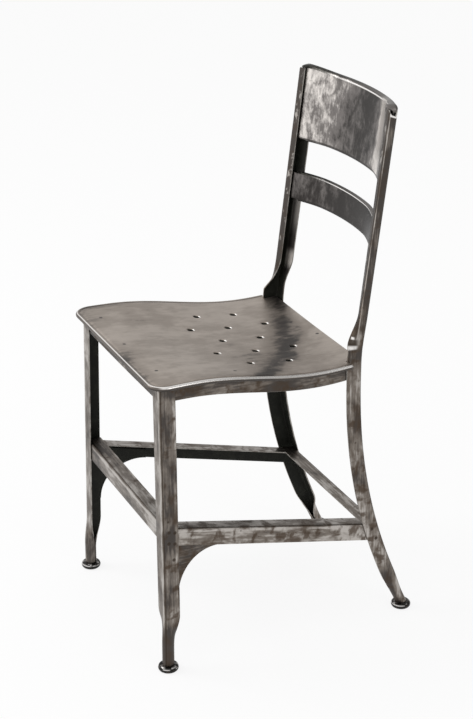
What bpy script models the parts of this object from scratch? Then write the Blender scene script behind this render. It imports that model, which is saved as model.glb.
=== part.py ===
"""Steel classroom chair of pressed, folded and spot-welded sheet.

The chair faces -Y, +X is the sitter's left, +Z is up and the floor is Z = 0. Units are metres.
Every sheet piece is an open surface at the middle of its thickness, given its gauge by Solidify.
"""
import math

import bmesh
import bpy
import numpy as np
from mathutils import Matrix

# Gauges and fits
LEG_SHEET = 0.0020
RAIL_SHEET = 0.0018
SEAT_SHEET = 0.0015
SLAT_SHEET = 0.0015
FIT_GAP = 0.0003
FOLD_ROUND = 0.0045

# Stance: the four foot axes, the seat's front edge and the tops of the back posts
FOOT_SPAN_Y = 0.4070
FRONT_FOOT_X = 0.1690
REAR_FOOT_X = 0.1464
SEAT_HEIGHT = 0.4575
BACK_HEIGHT = 0.8095

# Ankles and glides
ANKLE_RADIUS = 0.0090
ANKLE_INSET = 0.0058
ANKLE_SEAM = math.radians(36)
ANKLE_TOP = 0.0440
TAPER_TOP = 0.0980
REAR_ANKLE_TOP = 0.0200
REAR_TAPER_TOP = 0.0720
GLIDE_RADIUS = 0.0155
GLIDE_HEIGHT = 0.0095
GLIDE_EDGE = 0.0040
NAIL_RADIUS = 0.0018
NAIL_LENGTH = 0.0055
PLUG_LENGTH = 0.0140

# Front legs
FRONT_LEG_TOP_X = 0.1585
FRONT_LEG_FACE = 0.0250
FRONT_LEG_SIDE = 0.0245

# Rear legs below the knee
FRAME_DEPTH = 0.3284
REAR_LEG_TOP_X = 0.1456
REAR_LEG_WEB = 0.0258
REAR_LEG_FLANGE = 0.0215
SWEEP_BELOW_SEAT = 0.0475
SWEEP_POWER = 2.15

# Back posts above the knee
KNEE_ABOVE_SEAT = 0.0030
KNEE_LENGTH = 0.0460
BEND_BELOW_SEAT = 0.0275
BEND_LENGTH = 0.0300
BACK_LEAN = math.radians(6.8)
POST_TOP_X = 0.1445
POST_TURN = math.radians(16)
POST_FLARE = math.radians(2)
POST_LIP = 0.0140
POST_DEPTH = 0.0135
POST_DEPTH_TOP = 0.0150
POST_FLANGE = 0.0260
POST_DROP = 0.0041
LIP_RISE = 0.0070

# Crest rail and lower slat
CREST_HEIGHT = 0.1043
CREST_ROLL = 0.0046
ROLL_INSET = 0.0110
SLAT_HEIGHT = 0.0400
SLAT_ROLL = 0.0028
SLAT_SPACING = 0.0552
HEM_ROUND = 0.0022

# Seat pan
SEAT_FRONT_OVERHANG = 0.0140
SEAT_SIDE_OVERHANG = 0.0138
SEAT_CORNER = 0.0280
BEAD_ROUND = 0.0028
SEAT_RIDGE_Y = 0.0600
SEAT_RIDGE_RISE = 0.0012
SEAT_HOLLOW_Y = 0.2750
SEAT_HOLLOW_DROP = 0.0231
SEAT_REAR_RISE = 0.0050
SEAT_DISH = 0.0121
SEAT_DISH_REAR = 0.0016
SEAT_DISH_RUN = 0.1500
SEAT_DISH_POWER = 1.3
BEAD_LAP = 0.0055
SEAT_REAR_PLAY = 0.0035
POST_SLOT_PLAY = 0.0020
VENT_RADIUS = 0.0038
VENT_ROW_SPACING = 0.0504
VENT_PITCH = 0.0624
VENT_FIRST_Y = 0.1495

# Aprons under the seat
APRON_HEIGHT = 0.0275
APRON_FLANGE = 0.0140

# Stretchers and gussets
FRONT_STRETCHER_TOP = 0.2360
REAR_STRETCHER_DROP = 0.0702
STRETCHER_HEIGHT = 0.0278
STRETCHER_FLANGE = 0.0220
GUSSET_RADIUS = 0.0630
GUSSET_LAP = 0.0150
GUSSET_STEP = 0.0500

# Heights and planes worked out from the driving sizes
LEG_BOTTOM = GLIDE_HEIGHT + FIT_GAP
SEAT_LEAD = ANKLE_INSET + SEAT_FRONT_OVERHANG - GLIDE_RADIUS
FRONT_FOOT_Y = (SEAT_LEAD - FOOT_SPAN_Y) / 2
REAR_FOOT_Y = FRONT_FOOT_Y + FOOT_SPAN_Y
FACE_Y = FRONT_FOOT_Y - ANKLE_INSET
SEAT_FRONT_Y = FACE_Y - SEAT_FRONT_OVERHANG
REAR_WEB_Y = FACE_Y + FRAME_DEPTH - REAR_LEG_WEB / 2
BEHIND_FLANGE = LEG_SHEET + FIT_GAP
RAIL_MID = BEHIND_FLANGE + RAIL_SHEET / 2
CORNER_CLEAR = LEG_SHEET + FOLD_ROUND
SWEEP_TOP = SEAT_HEIGHT - SWEEP_BELOW_SEAT
BEND_LOW = SEAT_HEIGHT - BEND_BELOW_SEAT
BEND_HIGH = BEND_LOW + BEND_LENGTH
KNEE_LOW = SEAT_HEIGHT + KNEE_ABOVE_SEAT
KNEE_HIGH = KNEE_LOW + KNEE_LENGTH
CREST_TOP = BACK_HEIGHT - CREST_ROLL
POST_TOP = CREST_TOP - POST_DROP
CREST_BOTTOM = CREST_TOP - CREST_HEIGHT
SLAT_TOP = CREST_BOTTOM - SLAT_SPACING
SLAT_BOTTOM = SLAT_TOP - SLAT_HEIGHT
SIDE_TOP_FRONT = FRONT_STRETCHER_TOP - RAIL_SHEET - FIT_GAP

SIDES = ("left", "right")


def smooth(low, high, value):
    """0 below low, 1 above high, an S-curve between."""
    t = np.clip((value - low) / (high - low), 0.0, 1.0)
    return t * t * (3 - 2 * t)


def handed(label):
    """+1 on the sitter's left, -1 on the right."""
    return 1.0 if label == "left" else -1.0


def lerp(a, b, t):
    return a + (b - a) * t


# Lines of the frame

def front_corner_x(z):
    """Outer corner of a front leg, which splays outwards to the floor."""
    return lerp(FRONT_FOOT_X + ANKLE_INSET, FRONT_LEG_TOP_X, np.asarray(z) / SEAT_HEIGHT)


def rear_corner_x(z):
    """Outer corner of a rear leg and post."""
    leg = lerp(REAR_FOOT_X + ANKLE_INSET, REAR_LEG_TOP_X, np.asarray(z) / SEAT_HEIGHT)
    post = lerp(REAR_LEG_TOP_X, POST_TOP_X, (np.asarray(z) - SEAT_HEIGHT) / (BACK_HEIGHT - SEAT_HEIGHT))
    return np.maximum(leg, REAR_LEG_TOP_X) + np.minimum(post - REAR_LEG_TOP_X, 0.0)


def rear_web_y(z):
    """Middle of the rear leg's web: swept back to the foot below the seat, leaning back above it."""
    z = np.asarray(z, dtype=float)
    reach = np.clip((SWEEP_TOP - z) / (SWEEP_TOP - GLIDE_HEIGHT), 0.0, None)
    sweep = (REAR_FOOT_Y - REAR_WEB_Y) * reach ** SWEEP_POWER
    bend = np.clip(z - BEND_LOW, 0.0, BEND_HIGH - BEND_LOW)
    run = bend ** 2 / (2 * (BEND_HIGH - BEND_LOW)) + np.clip(z - BEND_HIGH, 0.0, None)
    return REAR_WEB_Y + sweep + math.tan(BACK_LEAN) * run


def rear_corner_y(z):
    return rear_web_y(z) + REAR_LEG_WEB / 2


def foot_lean():
    """Slope of the rear ankle, in y over z."""
    return float(rear_web_y(LEG_BOTTOM + PLUG_LENGTH) - rear_web_y(LEG_BOTTOM)) / PLUG_LENGTH


def side_x(y, z):
    """Outer face of a chair side: a ruled surface from the front corner line to the rear one."""
    share = (y - FACE_Y) / (rear_corner_y(z) - FACE_Y)
    return lerp(front_corner_x(z), rear_corner_x(z), share)


def rear_plane_y(z, depth):
    """A plane parallel to the rear flanges, the given depth in front of their outer face."""
    step = 0.001
    slope = (rear_corner_y(z + step) - rear_corner_y(z - step)) / (2 * step)
    return rear_corner_y(z) - depth * np.sqrt(1 + slope ** 2)


def seat_half_width(y):
    """From the chair's middle to where the seat's edge starts to roll."""
    return side_x(y, SEAT_HEIGHT) + SEAT_SIDE_OVERHANG - BEAD_ROUND - SEAT_SHEET / 2


def seat_mid(x, y):
    """Middle of the seat sheet: raised along its sides, hollow in the middle and towards the back."""
    ridge_y = SEAT_FRONT_Y + SEAT_RIDGE_Y
    hollow_y = SEAT_FRONT_Y + SEAT_HOLLOW_Y
    ridge_z = SEAT_HEIGHT + SEAT_RIDGE_RISE
    fall = SEAT_RIDGE_RISE * np.clip((ridge_y - y) / SEAT_RIDGE_Y, 0.0, None) ** 2
    swing = np.clip((y - ridge_y) / (hollow_y - ridge_y), 0.0, 1.0)
    hollow = SEAT_HOLLOW_DROP * (1 - np.cos(math.pi * swing)) / 2
    rear_y = FACE_Y + FRAME_DEPTH
    rise = SEAT_REAR_RISE * np.clip((y - hollow_y) / (rear_y - hollow_y), 0.0, None) ** 2
    across = np.clip(x / seat_half_width(y), -1.0, 1.0)
    dish = lerp(SEAT_DISH, SEAT_DISH_REAR, smooth(ridge_y, hollow_y, y))
    dish = dish * smooth(SEAT_FRONT_Y, SEAT_FRONT_Y + SEAT_DISH_RUN, y) * (1 - across ** 2) ** SEAT_DISH_POWER
    return ridge_z - fall - hollow + rise - dish - SEAT_SHEET / 2


def seat_under(x, y):
    """Height at which a piece under the seat sheet stops."""
    return seat_mid(x, y) - SEAT_SHEET / 2 - FIT_GAP


def side_stretcher_top(y):
    """Upper face of a side stretcher, which falls towards the rear leg."""
    return SIDE_TOP_FRONT - REAR_STRETCHER_DROP * (y - FACE_Y - CORNER_CLEAR) / FRAME_DEPTH


# Objects

def finish(name, colour, roughness, metallic=1.0):
    material = bpy.data.materials.new(name)
    material.use_nodes = True
    shader = material.node_tree.nodes["Principled BSDF"]
    shader.inputs["Base Color"].default_value = (*colour, 1.0)
    shader.inputs["Roughness"].default_value = roughness
    shader.inputs["Metallic"].default_value = metallic
    return material


def add_object(name, mesh, material, collection):
    piece = bpy.data.objects.new(name, mesh)
    if material is not None:
        mesh.materials.append(material)
    mesh.shade_smooth()
    mesh.set_sharp_from_angle(angle=math.radians(40))
    collection.objects.link(piece)
    return piece


def sheet(name, grid, gauge, material, collection):
    """A folded or pressed sheet: a loft through rows of points; NaN points are left out."""
    rows, columns = grid.shape[:2]
    present = ~np.isnan(grid[:, :, 0])
    index = np.full((rows, columns), -1)
    index[present] = np.arange(present.sum())
    quads = np.stack([index[:-1, :-1], index[:-1, 1:], index[1:, 1:], index[1:, :-1]], axis=-1)
    quads = quads.reshape(-1, 4)
    mesh = bpy.data.meshes.new(name)
    mesh.from_pydata(grid[present].tolist(), [], quads[(quads >= 0).all(axis=1)].tolist())
    piece = add_object(name, mesh, material, collection)
    solid = piece.modifiers.new("gauge", "SOLIDIFY")
    solid.thickness = gauge
    solid.offset = 0.0
    solid.use_even_offset = True
    return piece


def turned(name, profile, centre, material, collection, sides):
    """A solid of revolution about a vertical axis; the profile runs down its outer side."""
    mesh = bpy.data.meshes.new(name)
    edges = [(i, i + 1) for i in range(len(profile) - 1)]
    mesh.from_pydata([(r, 0.0, z) for r, z in profile], edges, [])
    piece = add_object(name, mesh, material, collection)
    piece.location = centre
    screw = piece.modifiers.new("turn", "SCREW")
    screw.steps = sides
    screw.render_steps = sides
    screw.use_merge_vertices = True
    screw.merge_threshold = 0.0001
    return piece


def cutter(name, mesh, collection):
    piece = add_object(name, mesh, None, collection)
    piece.hide_render = True
    piece.display_type = "WIRE"
    return piece


def cut(piece, tool):
    boolean = piece.modifiers.new(tool.name, "BOOLEAN")
    boolean.operation = "DIFFERENCE"
    boolean.object = tool


def rod_mesh(name, radius, length, sides):
    """A plain rod standing on the origin."""
    mesh = bpy.data.meshes.new(name)
    rod = bmesh.new()
    bmesh.ops.create_cone(rod, cap_ends=True, segments=sides, radius1=radius, radius2=radius, depth=length)
    bmesh.ops.translate(rod, verts=rod.verts, vec=(0.0, 0.0, length / 2))
    rod.to_mesh(mesh)
    rod.free()
    return mesh


def box_mesh(name, low, high):
    mesh = bpy.data.meshes.new(name)
    box = bmesh.new()
    bmesh.ops.create_cube(box, size=1.0)
    size = [b - a for a, b in zip(low, high)]
    middle = [(a + b) / 2 for a, b in zip(low, high)]
    bmesh.ops.scale(box, verts=box.verts, vec=size)
    bmesh.ops.translate(box, verts=box.verts, vec=middle)
    box.to_mesh(mesh)
    box.free()
    return mesh


# Sections of the pressed legs, each a row of points in plan

def run(start, end, count):
    return [lerp(start, end, i / (count - 1)) for i in range(count)]


def rounded(before, corner, after, count):
    """Points strictly between two tangent points on the round of a fold."""
    points = []
    for i in range(1, count + 1):
        t = i / (count + 1)
        points.append((1 - t) ** 2 * before + 2 * t * (1 - t) * corner + t ** 2 * after)
    return points


def towards(start, end, distance):
    return start + (end - start) * (distance / np.linalg.norm(end - start))


def ankle_ring(centre, corner_angle, turn, count):
    """An almost closed ring whose seam faces away from the fold of the leg."""
    radius = ANKLE_RADIUS - LEG_SHEET / 2
    half = math.pi - ANKLE_SEAM / 2
    angles = corner_angle + turn * np.linspace(-half, half, count)
    return np.stack([centre[0] + radius * np.cos(angles), centre[1] + radius * np.sin(angles)], axis=1)


def front_leg_section(z):
    """L-section from the inner edge of the front face round to the rear edge of the side."""
    half = LEG_SHEET / 2
    side_end = FACE_Y + FRONT_LEG_SIDE
    corner = np.array([front_corner_x(z) - half, FACE_Y + half])
    inner = np.array([front_corner_x(z) - FRONT_LEG_FACE, FACE_Y + half])
    rear = np.array([side_x(side_end, z) - half, side_end])
    before = towards(corner, inner, FOLD_ROUND)
    after = towards(corner, rear, FOLD_ROUND)
    angle = run(inner, before, 5) + rounded(before, corner, after, 3) + run(after, rear, 5)
    ring = ankle_ring((FRONT_FOOT_X, FRONT_FOOT_Y), -math.pi / 4, 1.0, 13)
    return lerp(ring, np.array(angle), smooth(ANKLE_TOP, TAPER_TOP, z))


def post_frame(z):
    """Rear outer corner of the post's mid-surface and its directions inwards and forwards."""
    turn = POST_TURN
    inwards = np.array([-math.cos(turn), math.sin(turn)])
    forwards = np.array([-math.sin(turn), -math.cos(turn)])
    outer = np.array([rear_corner_x(z), rear_corner_y(z)])
    return outer + (inwards + forwards) * LEG_SHEET / 2, inwards, forwards


def post_section(z):
    """J-channel: a front lip, a web along the chair's side and a wide flange facing the sitter's spine."""
    corner, inwards, _ = post_frame(z)
    forwards = np.array([math.sin(POST_FLARE), -math.cos(POST_FLARE)])
    rise = (z - KNEE_HIGH) / (BACK_HEIGHT - KNEE_HIGH)
    depth = lerp(POST_DEPTH, POST_DEPTH_TOP, np.clip(rise, 0.0, 1.0))
    front = corner + forwards * (depth - LEG_SHEET)
    lip = front + inwards * (POST_LIP - LEG_SHEET / 2)
    flange = corner + inwards * (POST_FLANGE - LEG_SHEET / 2)
    lip_tangent = towards(front, lip, FOLD_ROUND)
    front_tangent = towards(front, corner, FOLD_ROUND)
    rear_tangent = towards(corner, front, FOLD_ROUND)
    flange_tangent = towards(corner, flange, FOLD_ROUND)
    points = [lip, lip_tangent] + rounded(lip_tangent, front, front_tangent, 2)
    points += [front_tangent, rear_tangent] + rounded(rear_tangent, corner, flange_tangent, 3)
    return np.array(points + run(flange_tangent, flange, 5))


def rear_leg_section(z):
    """L-section: a web on the chair's side and a flange across its back."""
    half = LEG_SHEET / 2
    back = rear_corner_y(z)
    corner = np.array([rear_corner_x(z) - half, back - half])
    front_y = back - REAR_LEG_WEB
    front = np.array([side_x(front_y, z) - half, front_y])
    flange = np.array([rear_corner_x(z) - REAR_LEG_FLANGE, back - half])
    before = towards(corner, front, FOLD_ROUND)
    after = towards(corner, flange, FOLD_ROUND)
    return np.array(run(front, before, 6) + rounded(before, corner, after, 3) + run(after, flange, 5))


def back_leg_section(z):
    """Ankle ring, then L-section, then J-channel, each flowing into the next."""
    ring = ankle_ring((REAR_FOOT_X, rear_web_y(z)), math.pi / 4, 1.0, 14)
    leg = lerp(ring, rear_leg_section(z), smooth(REAR_ANKLE_TOP, REAR_TAPER_TOP, z))
    return lerp(leg, post_section(z), smooth(KNEE_LOW, KNEE_HIGH, z))


def loft(section, heights, side):
    """Stacks the sections at the given heights; side mirrors them."""
    grid = np.zeros((len(heights), len(section(heights[0])), 3))
    for row, z in zip(grid, heights):
        row[:, :2] = section(z)
        row[:, 2] = z
    grid[:, :, 0] *= side
    return grid


def steps(*stations):
    """Heights from (height, number of intervals up to the next one) pairs."""
    heights = []
    for (low, count), (high, _) in zip(stations[:-1], stations[1:]):
        heights += list(np.linspace(low, high, count, endpoint=False))
    return heights + [stations[-1][0]]


# Pieces

def front_leg(name, side, material, collection):
    clear = SEAT_HEIGHT - SEAT_SHEET - 2 * FIT_GAP
    heights = steps((LEG_BOTTOM, 2), (ANKLE_TOP, 7), (TAPER_TOP, 3), (clear - RAIL_SHEET, 1), (clear, 0))
    grid = loft(front_leg_section, heights, side)
    grid[-1, :, 2] = seat_under(grid[-1, :, 0], grid[-1, :, 1])
    return sheet(name, grid, LEG_SHEET, material, collection)


def back_leg(name, side, material, collection):
    bottom = LEG_BOTTOM + LEG_SHEET / 2 * abs(foot_lean())
    heights = steps((bottom, 2), (REAR_ANKLE_TOP, 7), (REAR_TAPER_TOP, 8), (SWEEP_TOP, 3), (KNEE_LOW, 7),
                    (KNEE_HIGH, 4), (POST_TOP - LIP_RISE, 1), (POST_TOP, 0))
    grid = loft(back_leg_section, heights, side)
    lip_points = 5
    taller = smooth(lip_points, 0.0, np.arange(grid.shape[1]))[:, None]
    raised = loft(back_leg_section, [POST_TOP + LIP_RISE], side)[0]
    grid[-1] = lerp(grid[-1], raised, taller)
    return sheet(name, grid, LEG_SHEET, material, collection)


def slat_path(z, inset):
    """Plan of a slat at one height: flat on each post's rear flange, an arc between them.

    Its ends are inset from the posts' outer corners. Returns its points from the left end to the
    right end and the directions to its back.
    """
    corner, inwards, forwards = post_frame(z)
    face = corner + forwards * (LEG_SHEET / 2 + FIT_GAP + SLAT_SHEET / 2)
    end = face + inwards * inset
    flange_end = face + inwards * (POST_FLANGE - LEG_SHEET / 2 + 2 * FIT_GAP)
    radius = flange_end[0] / math.sin(POST_TURN)
    angles = np.linspace(POST_TURN, 0.0, 9)
    arc_x = radius * np.sin(angles)
    arc_y = flange_end[1] + radius * (np.cos(angles) - math.cos(POST_TURN))
    x = np.concatenate([[end[0]], arc_x])
    y = np.concatenate([[end[1]], arc_y])
    turn = np.concatenate([[POST_TURN], angles])
    x = np.concatenate([x, -x[-2::-1]])
    y = np.concatenate([y, y[-2::-1]])
    turn = np.concatenate([turn, -turn[-2::-1]])
    return np.stack([x, y], axis=1), np.stack([np.sin(turn), np.cos(turn)], axis=1)


def curl_row(z, inset, radius, angle, upwards):
    """One row of points of an edge curled backwards through the given angle."""
    plan, back = slat_path(z, inset)
    reach = radius * (1 - math.cos(angle))
    row = np.zeros((len(plan), 3))
    row[:, :2] = plan + back * reach
    row[:, 2] = z + upwards * radius * math.sin(angle)
    return row


def slat(name, bottom, top, roll, over_posts, material, collection):
    """A curved slat with a rolled top edge and a hemmed bottom edge; it may reach over the posts' tops."""
    shoulder = POST_TOP + SLAT_SHEET if over_posts else lerp(bottom, top, 2 / 3)
    inset = ROLL_INSET if over_posts else FOLD_ROUND
    hem = [curl_row(bottom, FOLD_ROUND, HEM_ROUND, math.radians(a), -1.0) for a in (150, 105, 60)]
    body = [curl_row(z, FOLD_ROUND, roll, 0.0, 1.0) for z in np.linspace(bottom, shoulder, 3)]
    body.append(curl_row(top, inset, roll, 0.0, 1.0))
    rolled = [curl_row(top, inset, roll, math.radians(a), 1.0) for a in (36, 72, 108, 144, 180)]
    grid = np.array(hem + body + rolled)
    on_posts = [0, -1]
    grid[:len(hem), on_posts] = np.nan
    if not over_posts:
        grid[-len(rolled):, on_posts] = np.nan
    return sheet(name, grid, SLAT_SHEET, material, collection)


def seat_pan(material, collection, cutters):
    """Saddle sheet with a bead rolled round its front and sides, slotted for the posts."""
    inset = BEAD_ROUND + SEAT_SHEET / 2
    front = SEAT_FRONT_Y + inset
    corner = SEAT_CORNER - inset
    rear = FACE_Y + FRAME_DEPTH - BEHIND_FLANGE - SEAT_REAR_PLAY
    bends = np.linspace(0.0, math.pi / 2, 6)
    y = np.concatenate([front + corner * (1 - np.cos(bends)), np.linspace(front + corner, rear, 21)[1:]])
    square = np.clip(corner - (y - front), 0.0, None)
    half_width = seat_half_width(y)
    half_width -= corner - np.sqrt(np.maximum(corner ** 2 - square ** 2, 0.0))
    across = np.cos(np.linspace(0.0, math.pi, 14))
    x = half_width[:, None] * across[None, :]
    depth = np.repeat(y[:, None], len(across), axis=1)
    top = np.stack([x, depth, seat_mid(x, depth)], axis=-1)

    mesh = bpy.data.meshes.new("seat_pan")
    rows, columns = top.shape[:2]
    index = np.arange(rows * columns).reshape(rows, columns)
    quads = np.stack([index[:-1, :-1], index[:-1, 1:], index[1:, 1:], index[1:, :-1]], axis=-1).reshape(-1, 4)
    edge = np.concatenate([index[:0:-1, 0], index[0, :], index[1:, -1]])
    points = top.reshape(-1, 3)
    rim = points[edge]
    along = np.gradient(rim[:, :2], axis=0)
    outwards = np.stack([-along[:, 1], along[:, 0]], axis=1) / np.linalg.norm(along, axis=1)[:, None]
    vertices = [points]
    last = edge
    bead_quads = []
    for angle in np.radians((36, 72, 108, 144, 180)):
        ring = rim.copy()
        ring[:, :2] += outwards * BEAD_ROUND * math.sin(angle)
        ring[:, 2] -= BEAD_ROUND * (1 - math.cos(angle))
        this = sum(len(v) for v in vertices) + np.arange(len(ring))
        vertices.append(ring)
        bead_quads.append(np.stack([last[:-1], last[1:], this[1:], this[:-1]], axis=-1))
        last = this
    faces = np.concatenate([quads[:, ::-1]] + bead_quads)
    mesh.from_pydata(np.concatenate(vertices).tolist(), [], faces.tolist())
    pan = add_object("seat_pan", mesh, material, collection)
    solid = pan.modifiers.new("gauge", "SOLIDIFY")
    solid.thickness = SEAT_SHEET
    solid.offset = 0.0
    solid.use_even_offset = True

    drop = SEAT_HOLLOW_DROP + 4 * BEAD_ROUND
    low = SEAT_HEIGHT - drop
    high = SEAT_HEIGHT + drop
    web_front = FACE_Y + FRAME_DEPTH - BEHIND_FLANGE - REAR_LEG_WEB
    for label in SIDES:
        side = handed(label)
        inner = rear_corner_x(SEAT_HEIGHT) - LEG_SHEET - POST_SLOT_PLAY
        outer = seat_half_width(web_front) - SEAT_SHEET
        far = outer + 4 * SEAT_SIDE_OVERHANG
        slot_x = sorted((side * inner, side * outer))
        end_x = sorted((side * inner, side * far))
        slot = box_mesh(f"post_slot_{label}", (slot_x[0], web_front, low), (slot_x[1], rear + drop, high))
        cut(pan, cutter(f"post_slot_{label}", slot, cutters))
        end_y = web_front + BEAD_LAP
        end = box_mesh(f"bead_end_{label}", (end_x[0], end_y, low), (end_x[1], rear + drop, high))
        cut(pan, cutter(f"bead_end_{label}", end, cutters))
    for row in range(-2, 3):
        count = 2 if row % 2 == 0 else 3
        first = SEAT_FRONT_Y + VENT_FIRST_Y + (VENT_PITCH / 2 if row % 2 == 0 else 0.0)
        for place in range(count):
            label = f"vent_{row + 3}_{place + 1}"
            vent = cutter(label, rod_mesh(label, VENT_RADIUS, high - low, 12), cutters)
            vent.location = (row * VENT_ROW_SPACING, first + place * VENT_PITCH, low)
            cut(pan, vent)
    return pan


def angle_profile(height, flange, gauge):
    """A folded rail in section as (depth inwards, height below its top), from its lower edge up."""
    half = gauge / 2
    lower = np.array([half, height])
    corner = np.array([half, half])
    inner = np.array([flange, half])
    before = towards(corner, lower, gauge)
    after = towards(corner, inner, gauge)
    return [lower, before] + rounded(before, corner, after, 1) + [after, inner]


def side_rail(top, height, flange, ends, side, count):
    """A rail along a chair side, behind the legs' flanges, with its own flange turned inwards.

    top(y) is its upper face and ends(inwards, below) the first and last y of a line of its section.
    """
    grid = []
    for inwards, below in angle_profile(height, flange, RAIL_SHEET):
        row = np.zeros((count, 3))
        first, last = ends(inwards, below)
        row[:, 1] = np.linspace(first, last, count)
        row[:, 2] = top(row[:, 1]) - below
        row[:, 0] = side * (side_x(row[:, 1], row[:, 2]) - BEHIND_FLANGE - inwards)
        grid.append(row)
    return np.array(grid)


def apron_side(name, side, material, collection):
    front = FACE_Y + CORNER_CLEAR
    rear = FACE_Y + FRAME_DEPTH - CORNER_CLEAR

    def ends(inwards, below):
        return front + inwards, rear - inwards

    def top(y):
        return seat_under(side_x(y, SEAT_HEIGHT) - BEHIND_FLANGE, y)

    grid = side_rail(top, APRON_HEIGHT, APRON_FLANGE, ends, side, 23)
    flange_top = seat_under(grid[-1, :, 0], grid[-1, :, 1]) - RAIL_SHEET / 2
    grid[-1, :, 2] = np.minimum(grid[-1, :, 2], flange_top)
    return sheet(name, grid, RAIL_SHEET, material, collection)


def cross_rail(plane, top, half_length, height, flange, inward_sign):
    """A rail across the chair: plane(z, depth) is y, top(x, y) its upper face, and it turns inwards."""
    grid = []
    for inwards, below in angle_profile(height, flange, RAIL_SHEET):
        row = np.zeros((9, 3))
        upright = min(inwards, RAIL_SHEET / 2)
        z = top(0.0) - below
        y = plane(z, BEHIND_FLANGE + upright) + inward_sign * (inwards - upright)
        reach = half_length(y, z, inwards)
        row[:, 0] = np.linspace(reach, -reach, len(row))
        row[:, 1] = y
        row[:, 2] = top(row[:, 0]) - below
        grid.append(row)
    return np.array(grid)


def front_plane(z, depth):
    return FACE_Y + depth


def apron_cross(name, plane, inward_sign, material, collection):
    y = plane(SEAT_HEIGHT, RAIL_MID)

    def top(x):
        return np.minimum(seat_under(x, y), seat_under(x, y + inward_sign * APRON_FLANGE))

    def half_length(at_y, z, inwards):
        return side_x(at_y, z) - CORNER_CLEAR - inwards

    grid = cross_rail(plane, top, half_length, APRON_HEIGHT, APRON_FLANGE, inward_sign)
    return sheet(name, grid, RAIL_SHEET, material, collection)


def stretcher_front(material, collection):
    def top(x):
        return FRONT_STRETCHER_TOP + 0 * np.asarray(x)

    def half_length(y, z, inwards):
        return side_x(y, z) - CORNER_CLEAR

    grid = cross_rail(front_plane, top, half_length, STRETCHER_HEIGHT, STRETCHER_FLANGE, 1.0)
    return sheet("stretcher_front", grid, RAIL_SHEET, material, collection)


def rear_flange_edge(top):
    """Front edge of the rear stretcher's flange when its upper face is at the given height."""
    return float(rear_plane_y(top - RAIL_SHEET / 2, RAIL_MID)) - STRETCHER_FLANGE + RAIL_SHEET / 2


def rear_stretcher_top():
    """The rear stretcher's flange is level with the side stretchers where they meet its edge."""
    top = SIDE_TOP_FRONT - REAR_STRETCHER_DROP
    for _ in range(12):
        top = side_stretcher_top(rear_flange_edge(top))
    return top


def stretcher_rear(material, collection):
    def top(x):
        return rear_stretcher_top() + 0 * np.asarray(x)

    def half_length(y, z, inwards):
        return side_x(y, z) - CORNER_CLEAR

    grid = cross_rail(rear_plane_y, top, half_length, STRETCHER_HEIGHT, STRETCHER_FLANGE, -1.0)
    return sheet("stretcher_rear", grid, RAIL_SHEET, material, collection)


def stretcher_side(name, side, material, collection):
    front = FACE_Y + CORNER_CLEAR

    def ends(inwards, below):
        last = front
        for _ in range(12):
            last = float(rear_plane_y(side_stretcher_top(last) - below, CORNER_CLEAR))
        if inwards > RAIL_SHEET:
            last = rear_flange_edge(rear_stretcher_top()) - FIT_GAP
        return front, last

    grid = side_rail(side_stretcher_top, STRETCHER_HEIGHT, STRETCHER_FLANGE, ends, side, 13)
    return sheet(name, grid, RAIL_SHEET, material, collection)


def gusset(name, side, material, collection):
    """Plate behind a front leg and its side stretcher; its open edge is a fillet between the two."""
    leg_y = FACE_Y + FRONT_LEG_SIDE

    def lower_edge(y):
        return side_stretcher_top(y) - STRETCHER_HEIGHT

    slope = REAR_STRETCHER_DROP / FRAME_DEPTH
    length = math.sqrt(1 + slope ** 2)
    centre_y = leg_y + GUSSET_RADIUS
    centre_z = lower_edge(centre_y) - GUSSET_RADIUS * length
    angles = np.linspace(math.pi, math.pi / 2 - math.atan(slope), 13)
    arc = np.stack([centre_y + GUSSET_RADIUS * np.cos(angles),
                    centre_z + GUSSET_RADIUS * np.sin(angles)], axis=1)
    hidden_y = leg_y - GUSSET_LAP
    start = np.array([hidden_y, centre_z])
    corner = np.array([hidden_y, lower_edge(hidden_y) + GUSSET_LAP])
    end = np.array([arc[-1, 0], lower_edge(arc[-1, 0]) + GUSSET_LAP])
    hidden = np.array(run(start, corner, 7) + run(corner, end, 7)[1:])
    grid = []
    for share in np.linspace(0.0, 1.0, 9):
        flat = lerp(arc, hidden, share)
        over = smooth(-GUSSET_STEP, -RAIL_SHEET, flat[:, 1] - lower_edge(flat[:, 0]))
        depth = BEHIND_FLANGE + RAIL_SHEET / 2 + over * (RAIL_SHEET + FIT_GAP)
        x = side * (side_x(flat[:, 0], flat[:, 1]) - depth)
        grid.append(np.stack([x, flat[:, 0], flat[:, 1]], axis=1))
    return sheet(name, np.array(grid), RAIL_SHEET, material, collection)


def foot_glide(name, x, y, material, collection):
    """Flat turned glide with rounded edges and a nail on top, standing on the floor."""
    flat = GLIDE_RADIUS - GLIDE_EDGE
    profile = [(0.0, GLIDE_HEIGHT + NAIL_LENGTH), (NAIL_RADIUS, GLIDE_HEIGHT + NAIL_LENGTH),
               (NAIL_RADIUS, GLIDE_HEIGHT), (flat, GLIDE_HEIGHT)]
    middle = GLIDE_HEIGHT / 2
    for angle in np.radians((60, 30, 0, -30, -60)):
        profile.append((flat + GLIDE_EDGE * math.cos(angle), middle + middle * math.sin(angle)))
    profile += [(flat, 0.0), (0.0, 0.0)]
    return turned(name, profile, (x, y, 0.0), material, collection, 20)


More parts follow.
